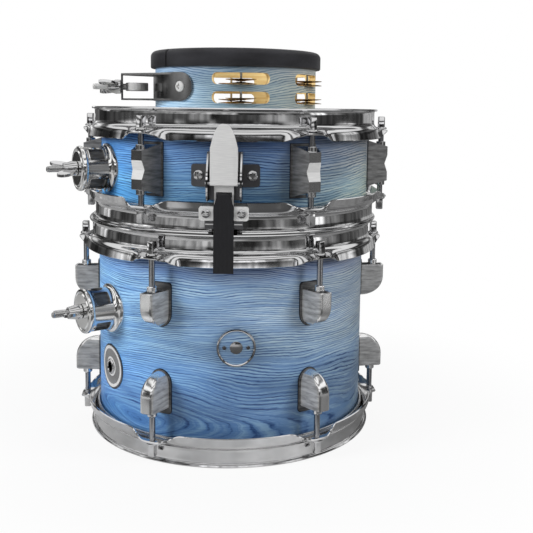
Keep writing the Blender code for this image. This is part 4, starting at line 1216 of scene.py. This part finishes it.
def lever_mesh():
    """Cupped lever in the hinge's frame, round at the top."""
    front = cheek_reach + 0.0002 - hinge_reach
    half = lever_width / 2
    low = -0.0012
    crown = 0.0195
    crown_start = low + lever_length - crown
    rings = []
    steps = 32
    for step in range(steps + 1):
        share = step / steps
        height = low + lever_length * (share if share < 0.5 else 1 - 2 * (1 - share) ** 2)
        wide = half
        if height > crown_start:
            wide = half * max(0.004, min(1.0, (crown_start + crown - height) / crown)) ** 0.38
        sink = 0.0008 * smooth_step((height - crown_start - 0.004) / 0.012)
        ring = []
        count = 10
        for index in range(count + 1):
            across = -wide + 2 * wide * index / count
            edge = 0.0008 * (abs(across) / half) ** 6
            ring.append((front - edge - sink, across, height))
        for index in range(count + 1):
            across = wide - 2 * wide * index / count
            ring.append((front - 0.0016 - sink, across, height))
        rings.append(ring)
    face = loft(rings)
    flanges = []
    for side in (-1, 1):
        wall = [
            (front - 0.0008, 0.002), (front - 0.0056, 0.0026), (front - 0.0056, 0.02),
            (front - 0.002, 0.029), (front - 0.0008, 0.029),
        ]
        flanges.append(prism(wall, side * half, side * (half - 0.0012), "Y"))
    barrel = turned([(0.0014, -half), (0.002, -half), (0.002, half), (0.0014, half)], 24, "Y")
    return gathered(face, *flanges, barrel)


def slide_mesh():
    back = slide_inner_reach
    front = back + slide_sheet
    clamp_bottom = clamp_top - clamp_height
    bar_low = clamp_bottom - 0.007
    bar = block((back, -0.0079, bar_low), (front, 0.0079, 0.0095))
    slot = block((back - 0.001, -0.0064, -0.0164), (front + 0.001, 0.0064, -0.0122))
    bar = cut(bar, slot)
    jaw = block((back, -0.0155, bar_low), (front, 0.0155, clamp_bottom + 0.002))
    middle = clamp_top - clamp_height / 2
    outline = rounded_outline(0.02, clamp_height / 2, 0.0022, 5, (0, middle))
    clamp = prism(outline, front - 0.0004, front + clamp_sheet, "X")
    screw = screw_head(0.0038, 0.0016, front + clamp_sheet)
    screws = [(moved(screw, (0, sign * 0.0143, middle)), 2) for sign in (-1, 1)]
    lip = block((front - 0.0002, -0.015, bar_low + 0.0034), (front + 0.0006, 0.015, bar_low + 0.0044))
    return gathered(bar, (jaw, 1), (lip, 2), clamp, *screws)


def ribbon(path, thickness):
    """A strap along (x, z, half width) points, softened along its length, thickness to its right."""
    dense = []
    count = len(path)
    for index in range(count - 1):
        ends = [Vector(path[min(max(index + shift, 0), count - 1)]) for shift in (-1, 0, 1, 2)]
        for step in range(5):
            t = step / 5
            first, second, third, fourth = ends
            point = 0.5 * (
                2 * second + (third - first) * t + (2 * first - 5 * second + 4 * third - fourth) * t**2
                + (3 * second - first - 3 * third + fourth) * t**3
            )
            dense.append(point)
    dense.append(Vector(path[-1]))
    rings = []
    length = 0.0
    for index, point in enumerate(dense):
        before = dense[max(0, index - 1)].xy
        after = dense[min(len(dense) - 1, index + 1)].xy
        along = (after - before).normalized()
        side = Vector((along.y, -along.x)) * thickness
        inner, outer, half = point.xy, point.xy + side, point.z
        if index:
            length += (point.xy - dense[index - 1].xy).length
        corners = ((inner, -half), (inner, half), (outer, half), (outer, -half))
        rings.append([(edge.x, across, edge.y) for edge, across in corners])
    return loft(rings), length


def strap_bend(level):
    """The end of a strap that comes out under a hoop and turns up, as (x, z, half width) points."""
    rise = slide_inner_reach - wall_gap - strap_thickness
    points = (
        (strap_inner_radius - shell_radius, level), (rise - 0.003, level), (rise - 0.0008, level + 0.0008),
        (rise, level + 0.003),
    )
    return rise, [(across, height, strap_half_width) for across, height in points]


def snare_strap_path():
    wide = strap_half_width
    slim = 0.0058
    slot = -0.0143
    front = slide_inner_reach + slide_sheet
    hang = front + clamp_sheet + wall_gap + strap_thickness
    clamp_bottom = clamp_top - clamp_height
    rise, bend = strap_bend(strap_level - strainer_height)
    return bend + [
        (rise, slot - 0.0061, wide), (rise, slot - 0.0012, slim), (rise + 0.001, slot + 0.0008, slim),
        (front + 0.001, slot + 0.001, slim), (front + 0.0022, slot - 0.0008, slim),
        (hang, slot - 0.006, 0.85 * wide), (hang + 0.0004, clamp_top - 0.001, wide),
        (hang + 0.0004, clamp_bottom - 0.001, wide), (hang, -0.03 - strainer_height, wide),
    ]


def butt_strap_path():
    rise, bend = strap_bend(strap_level - butt_height)
    return bend + [(rise, -0.0079, strap_half_width)]


def snare_wires_mesh():
    """Coiled strands between two end plates."""
    count, pitch, reach = 16, 0.0026, 0.102
    coil_radius, wire_radius, turns = 0.00038, 0.0003, 100
    corners = ((1, 0), (0, 1), (-1, 0), (0, -1))
    half_width = (count - 1) / 2 * pitch
    meshes = []
    for index in range(count):
        across = index * pitch - half_width
        rings = []
        for step in range(turns * 4 + 1):
            along = -reach + 2 * reach * step / (turns * 4)
            phase = 2 * math.pi * step / 4
            x, z = across + coil_radius * math.cos(phase), coil_radius * math.sin(phase)
            rings.append([(x + wire_radius * a, along, z + wire_radius * b) for a, b in corners])
        meshes.append(loft(rings))
    ends = rounded_outline(half_width + 0.002, 0.005, 0.0016, 4, (0, 0.105))
    end = prism(ends, -0.0008, 0.0008, "Z")
    return gathered(*meshes, end, moved(end, turn=180))


def butt_plate_mesh():
    foot = foot_plate(0.02, 0.008, 0.0022, 22)
    lip_start = slide_inner_reach
    lip_end = lip_start + clamp_sheet
    clamp_bottom = 0.0235 - butt_height
    elbow = [
        (0.0004, -0.0076), (lip_start, -0.0076), (lip_start, clamp_bottom), (lip_end, clamp_bottom),
        (lip_end, -0.0064), (lip_end - 0.001, -0.0054), (0.0004, -0.0054),
    ]
    elbow = prism(elbow, -0.015, 0.015, "Y")
    screw = screw_head(0.0027, 0.0012, lip_end)
    screws = [moved(screw, (0, sign * 0.0105, clamp_bottom + 0.0045)) for sign in (-1, 1)]
    return gathered(foot, elbow, *screws, *foot_screws(0.003, 0.0014, 0.015, 0.001))


def add_strainer():
    front = on_wall(snare_frame, shell_radius, -90, strainer_height)
    hinge = on_wall(snare_frame, shell_radius + hinge_reach, -90, strainer_height - hinge_below_plate)
    back = on_wall(snare_frame, shell_radius, 90, butt_height)
    base, slide, lever = strainer_base_mesh(), slide_mesh(), lever_mesh()
    # Dark steel with chrome on its bevels and on the cheeks' outer faces: painted shade with painted
    # highlights along the edges
    piece(
        "strainer_base_steel", base, "strainer_base", [dark_steel, chrome], front, 0.0007, 35,
        rim=1,
    )
    finishes = [satin, dark_steel, chrome]
    piece("strainer_slide_steel", slide, "strainer_slide", finishes, front, 0.0003, 35)
    piece("strainer_lever_steel", lever, "strainer_lever", [satin], hinge, 0.0004, 45)
    strap, length = ribbon(snare_strap_path(), strap_thickness)
    strap = piece("snare_strap_weave", strap, "snare_strap", [webbing], front, sharp=60)
    piece("butt_plate_steel", butt_plate_mesh(), "butt_plate", [chrome], back, 0.0003, 35)
    strap, length = ribbon(butt_strap_path(), strap_thickness)
    strap = piece("butt_strap_weave", strap, "butt_strap", [webbing], back, sharp=60)
    low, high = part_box("snare_wires")
    place = snare_frame @ lifted((low.z + high.z) / 2 - snare_frame.translation.z)
    piece("snare_wires_coils", snare_wires_mesh(), "snare_wires", [steel], place, sharp=40)


# Jingle ring


def slot_angles():
    return [-90 + 60 * index for index in range(4)]


def curved_slot(height):
    """A cutter for one slot with round ends, centred on +X."""
    reach = ring_radius + 0.004
    inner = ring_radius - ring_wall - 0.004
    side = ring_radius * math.radians(slot_half_angle)
    outline = rounded_outline(side, slot_height / 2, slot_corner, 6)
    dense = []
    for first, second in zip(outline, outline[1:] + outline[:1]):
        pieces = max(1, round(abs(second[0] - first[0]) / 0.003))
        for step in range(pieces):
            part = step / pieces
            dense.append([low + (high - low) * part for low, high in zip(first, second)])
    rings = []
    for radius in (inner, reach):
        rings.append([polar(radius, y / ring_radius, z + height) for y, z in dense])
    return loft(rings)


def ring_shell_mesh():
    inner = ring_radius - ring_wall
    top = ring_height - 0.003
    profile = [
        (inner, 0.0008), (inner + 0.0008, 0), (ring_radius - 0.0012, 0), (ring_radius - 0.0003, 0.0004),
        (ring_radius, 0.0012), (ring_radius, top), (inner, top),
    ]
    shell = turned(profile, round_steps)
    cutters = []
    for angle in slot_angles():
        for height in (lower_slot_centre, upper_slot_centre):
            cutters.append(moved(curved_slot(height), turn=angle))
    shell = bare_inside(cut(shell, *cutters), ring_radius)
    pin = rod(pin_radius, lower_slot_centre - pin_past_slot, upper_slot_centre + pin_past_slot, 16)
    pin = moved(pin, (ring_radius - ring_wall / 2, 0, 0))
    pins = [(moved(pin, turn=angle), 2) for angle in slot_angles()]
    return gathered((shell, None), *pins)


def rubber_mesh():
    """Moulded edge with one joint, where its two ends meet."""
    inner = ring_radius - ring_wall
    outer_face = ring_radius + wall_gap
    low = ring_height - rubber_drop
    outside = outer_face + rubber_thickness
    inside = inner - wall_gap - rubber_thickness
    seat = ring_height - 0.0027
    section = [(outer_face, low + 0.0003), (outer_face + 0.001, low), (outside - 0.0018, low + 0.0002)]
    section += arc((outside - 0.0016, low + 0.0018), (0.0016, 0.0016), -60, 0, 4)
    section += arc((outside - 0.0052, ring_height - 0.0052), (0.0052, 0.0052), 0, 90, 9)
    section += arc((inside + 0.005, ring_height - 0.005), (0.005, 0.005), 90, 180, 9)
    section += [(inside + 0.0002, ring_height - 0.008), (inner - 0.0006, ring_height - 0.0108)]
    section += [(inner - wall_gap, ring_height - 0.011), (inner - wall_gap, seat), (outer_face, seat)]
    middle = sum(radius for radius, _ in section) / len(section)
    # Stations past the two ends, as (step, share of the width, further turn)
    steps = 140
    before = [(0, 0.8, -0.25), (0, 0.94, -0.15)]
    after = [(steps, 0.94, 0.15), (steps, 0.8, 0.25)]
    rings = []
    for along, shrink, beyond in before + [(step, 1.0, 0.0) for step in range(steps + 1)] + after:
        angle = math.radians(rubber_seam_angle + 0.7 + 358.6 * along / steps + beyond)
        ring = []
        for radius, height in section:
            if radius > outer_face + 0.0001:
                radius = middle + (radius - middle) * shrink
            ring.append(polar(radius, angle, height))
        rings.append(ring)
    return loft(rings)


def jingle_pair_mesh():
    """Two thin dished cymbals, back to back on one pin."""
    top = jingle_half_height
    edge = 0.00045
    upper = [
        (0.0016, 0.0003), (0.0036, 0.0003), (0.005, 0.0007), (0.0072, 0.0009), (0.01, 0.0012),
        (0.0128, 0.0016), (jingle_radius, top - edge),
        (jingle_radius, top), (0.0126, 0.002), (0.01, 0.0017), (0.0072, 0.0014), (0.0048, 0.0013),
        (0.0034, 0.0008), (0.0016, 0.0008),
    ]
    saucer = turned(upper, 56)
    return gathered(saucer, moved(saucer, turn=180, axis="X"))


def bracket_mesh():
    half = bracket_height / 2
    reach = ring_radius * math.radians(bracket_half_angle)
    outline = rounded_outline(reach, half, half - 0.0004, 12)
    base = bent(plate(outline_columns(outline, 48), wall_gap, wall_gap + bracket_sheet), ring_radius)
    web = bracket_web_reach
    root = ring_radius + wall_gap + 0.4 * bracket_sheet
    plan = []
    for step in range(25):
        angle = math.radians(39 * (1 - step / 12))
        plan.append((root * math.cos(angle) - ring_radius, root * math.sin(angle)))
    corner = 0.0022
    side = bracket_web_half_width
    plan += [(web - corner, -side - corner * 0.35), (web, corner - side)]
    plan += [(web, side - corner), (web - corner, side + corner * 0.35)]
    level = half - 0.0004
    plates = [prism(plan, side * level, side * (level - bracket_sheet), "Z") for side in (-1, 1)]
    end = block((web - bracket_sheet, -0.009, -level + 0.001), (web, 0.009, level - 0.001))
    stem_hole = rod(stem_radius + stem_slack, web - 0.006, web + 0.006, 24, "X")
    rod_hole = moved(rod(rod_hole_radius, -0.02, 0.02, 28), (ring_eye_from_shell, 0, 0))
    channel = [cut(side, rod_hole) for side in plates] + [cut(end, stem_hole)]
    screw = screw_head(0.0048, 0.0022, ring_radius + wall_gap + bracket_sheet)
    screws = []
    for angle in (-bracket_screw_angle, bracket_screw_angle):
        screws.append((moved(moved(screw, turn=angle), (-ring_radius, 0, 0)), 2))
    return gathered(base, *channel, *screws)


def add_ring():
    finishes = [ring_ash, maple, steel]
    piece("jingle_ring_wood", ring_shell_mesh(), "jingle_ring_shell", finishes, ring_frame)
    piece("jingle_ring_edge", rubber_mesh(), "jingle_ring_rubber", [rubber], ring_frame, sharp=60)
    rest = wall_gap + jingle_half_height - slot_height / 2
    number = 0
    for height in (upper_slot_centre, lower_slot_centre):
        for angle in slot_angles():
            number += 1
            node = f"jingle_pair_{number}"
            place = on_wall(ring_frame, ring_radius - ring_wall / 2, angle, height + rest)
            piece(node + "_cymbals", jingle_pair_mesh(), node, [brass], place, sharp=50)
    place = on_wall(ring_frame, ring_radius, bracket_angle, bracket_centre_height)
    node = "jingle_ring_bracket"
    finishes = [grey_plate, chrome, satin]
    piece(node + "_steel", bracket_mesh(), node, finishes, place, 0.0003, 35, rim=1)
    eye = (ring_eye_radius - 0.003, ring_eye_radius, ring_eye_from_shell)
    seat = bracket_web_reach
    add_rod_clamp(
        "jingle_ring", ring_frame, ring_radius, bracket_angle, bracket_centre_height, eye, seat, 20,
    )


# Studio


def add_floor():
    """Pale floor that keeps the shadow and melts into the white backdrop further out. To reflections it
    shows a painted dark patch in front of the drums and painted clouds, darker to the right and further
    out.
    """
    tree = Finish("pale_floor")
    path = tree.add("ShaderNodeLightPath")
    x, y, _ = tree.axes(tree.place((1, 1, 1)))
    # Painted reflection: the colours that only reflections see on the floor
    across = tree.ramp(tree.math("ABSOLUTE", x), [(0.24, 1.0), (0.32, 0.0)])
    ahead = tree.ramp(tree.math("MULTIPLY", y, -1.0), [(0.2, 0.0), (0.25, 1.0), (0.5, 0.9), (0.56, 0.0)])
    patch = tree.math("MULTIPLY", across, ahead)
    cloud = tree.patches((16, 16, 16), [(0.34, 0.48), (0.66, 0.8)], detail=3.0, roughness=0.6)
    shade = tree.math("MULTIPLY_ADD", x, 2.0, 0.5)
    shade = tree.ramp(shade, [(0.1, 1.0), (0.66, 1.0), (0.78, 0.42), (1.0, 0.5)])
    length = tree.add("ShaderNodeVectorMath", operation="LENGTH")
    tree.fill(length, tree.place((1, 1, 1)))
    dim = tree.ramp(length.outputs["Value"], [(0.2, 1.0), (0.25, 0.45), (0.6, 0.65)])
    mirrored = tree.mix(patch, tree.times(tree.times(cloud, shade), dim), (0.06, 0.06, 0.06, 1))
    grain = tree.noise(tree.place((40, 40, 40)), detail=3.0)
    colour = tree.mix(path.outputs["Is Glossy Ray"], (0.66, 0.66, 0.66, 1), mirrored)
    made = tree.wear(colour, 0.7, (grain, 0.0002, 0.2))
    light = tree.add("ShaderNodeEmission")
    light.inputs["Strength"].default_value = 1.0
    far = tree.add("ShaderNodeMapRange", interpolation_type="SMOOTHSTEP")
    far = tree.fill(far, length.outputs["Value"], 0.16, 0.44, 0.9, 1.0)
    share = tree.math("MULTIPLY", path.outputs["Is Camera Ray"], far)
    mix = tree.fill(tree.add("ShaderNodeMixShader"), share, tree.shader.outputs[0], light.outputs[0])
    tree.put(made.node_tree.nodes["Material Output"].inputs[0], mix)
    shape = bmesh.new()
    reach = 0.75
    corners = ((-reach, -reach), (reach, -reach), (reach, reach), (-reach, reach))
    shape.faces.new([shape.verts.new((x, y, -0.0002)) for x, y in corners])
    mesh = to_mesh(shape)
    mesh.materials.append(made)
    floor = bpy.data.objects.new("floor", mesh)
    bpy.context.scene.collection.objects.link(floor)


def add_world():
    """White to the camera; a studio with dark walls between bright screens to reflections."""
    world = bpy.data.worlds.new("studio")
    bpy.context.scene.world = world
    world.use_nodes = True
    tree = Shades(world.node_tree)
    world.node_tree.nodes.clear()
    ray = tree.add("ShaderNodeTexCoord").outputs["Generated"]
    x, y, z = tree.axes(ray)
    turn = tree.math("ARCTAN2", x, tree.math("MULTIPLY", y, -1.0))
    turn = tree.math("MULTIPLY_ADD", turn, 0.5 / math.pi, 0.5)
    low = tree.ramp(turn, [
        (0.0, 0.1), (0.06, 0.06), (0.09, 0.06), (0.097, 0.22), (0.125, 0.24), (0.136, 1.0), (0.16, 0.9),
        (0.168, 0.06),
        (0.182, 0.07), (0.19, 0.2), (0.204, 0.18), (0.212, 0.05), (0.24, 0.06), (0.272, 0.2),
        (0.36, 0.34), (0.447, 0.55),
        (0.5, 0.6), (0.508, 0.03), (0.556, 0.03), (0.564, 0.2), (0.578, 0.16), (0.582, 0.05),
        (0.588, 0.32), (0.617, 0.3),
        (0.624, 0.09), (0.668, 0.1), (0.675, 1.3), (0.708, 1.2), (0.714, 0.24), (0.765, 0.22),
        (0.775, 0.07), (0.9, 0.16),
    ])
    high = tree.ramp(turn, [
        (0.0, 0.08), (0.08, 0.1), (0.095, 0.22), (0.112, 0.03), (0.15, 0.03), (0.2, 0.08), (0.34, 0.11),
        (0.395, 0.1),
        (0.404, 0.28), (0.44, 0.3), (0.448, 0.02), (0.47, 0.03), (0.5, 0.09), (0.525, 0.05), (0.532, 0.2),
        (0.545, 0.08),
        (0.556, 0.3), (0.6, 0.42), (0.64, 0.22), (0.668, 0.26), (0.69, 0.05), (0.8, 0.05), (0.845, 0.06),
        (0.855, 0.45),
        (0.93, 0.4), (1.0, 0.1),
    ])
    around = tree.ramp(turn, [
        (0.0, 0.5), (0.08, 0.8), (0.12, 0.1), (0.2, 0.05), (0.235, 0.9), (0.3, 1.1), (0.315, 0.1),
        (0.36, 0.06),
        (0.375, 0.4), (0.395, 0.06), (0.44, 0.04), (0.452, 0.5), (0.462, 0.04), (0.535, 0.03),
        (0.545, 0.25), (0.56, 0.04),
        (0.6, 0.05), (0.62, 0.6), (0.655, 0.8), (0.67, 0.05), (0.74, 0.04), (0.765, 0.8), (0.8, 0.7),
        (0.815, 0.06),
        (0.9, 0.1), (0.93, 0.6), (1.0, 0.5),
    ])
    level = tree.math("MULTIPLY_ADD", z, 0.5, 0.5)
    height = tree.ramp(level, [
        (0.0, 0.4), (0.33, 0.4), (0.5, 0.2), (0.62, 0.15), (0.7, 0.06), (0.715, 0.08), (0.73, 0.9),
        (0.84, 1.05), (0.86, 0.2),
        (0.9, 0.12), (0.92, 0.9), (0.97, 1.0), (1.0, 0.3),
    ])
    bands = tree.ramp(level, [
        (0.5, 0.7), (0.525, 0.9), (0.53, 1.2), (0.56, 1.1), (0.57, 0.4), (0.6, 0.35), (0.615, 1.1),
        (0.66, 1.3), (0.68, 0.25),
    ])
    ribs = tree.noise(tree.stretched(ray, (16, 16, 0.8)), detail=3.0, roughness=0.65)
    ribs = tree.ramp(ribs, [(0.36, 0.45), (0.64, 1.45)])
    screens = tree.times(around, bands)
    strip = tree.math(
        "MULTIPLY",
        tree.ramp(level, [(0.615, 0.0), (0.63, 1.0), (0.676, 1.0), (0.688, 0.0)]),
        tree.ramp(turn, [(0.41, 0.0), (0.44, 1.0), (0.57, 1.0), (0.6, 0.0)]),
    )
    screens = tree.mix(strip, screens, (1.1, 1.1, 1.12, 1))
    screens = tree.mix(tree.ramp(level, [(0.51, 0.0), (0.525, 1.0)]), high, screens)
    screens = tree.mix(tree.ramp(level, [(0.436, 0.0), (0.446, 1.0)]), low, screens)
    walls = tree.ramp(level, [(0.34, 0.0), (0.37, 1.0), (0.68, 1.0), (0.74, 0.0)])
    seen = tree.mix(walls, height, tree.times(screens, ribs))
    path = tree.add("ShaderNodeLightPath")
    soft = tree.mix(path.outputs["Is Glossy Ray"], (0.4, 0.4, 0.4, 1), seen)
    final = tree.mix(path.outputs["Is Camera Ray"], soft, (1, 1, 1, 1))
    background = tree.fill(tree.add("ShaderNodeBackground"), final)
    tree.put(tree.add("ShaderNodeOutputWorld").inputs[0], background)


def add_lamp(name, place, target, size, power):
    lamp = bpy.data.lights.new(name, "AREA")
    lamp.shape = "RECTANGLE"
    lamp.size, lamp.size_y = size
    lamp.energy = power
    holder = bpy.data.objects.new(name, lamp)
    bpy.context.scene.collection.objects.link(holder)
    holder.visible_glossy = False
    aim = Vector(target) - Vector(place)
    holder.matrix_world = Matrix.Translation(place) @ aim.to_track_quat("-Z", "Y").to_matrix().to_4x4()


def add_lamps():
    add_lamp("left", (-1.8, -0.9, 1.0), (0, 0, 0.17), (0.7, 0.9), 42)
    add_lamp("right", (1.8, -0.8, 0.9), (0, 0, 0.17), (0.7, 0.9), 30)
    add_lamp("back", (0.2, 1.7, 1.3), (0, 0, 0.15), (1.4, 0.8), 10)


add_camera()
add_shells()
add_heads(tom_frame, ("tom_batter_head", "tom_resonant_head"), tom_depth)
add_heads(snare_frame, ("snare_batter_head", "snare_resonant_head"), snare_depth)
add_hoops()
add_lugs()
add_mounts()
add_badges()
add_strainer()
add_ring()
add_floor()
add_world()
add_lamps()
bpy.context.scene.view_settings.view_transform = "Standard"
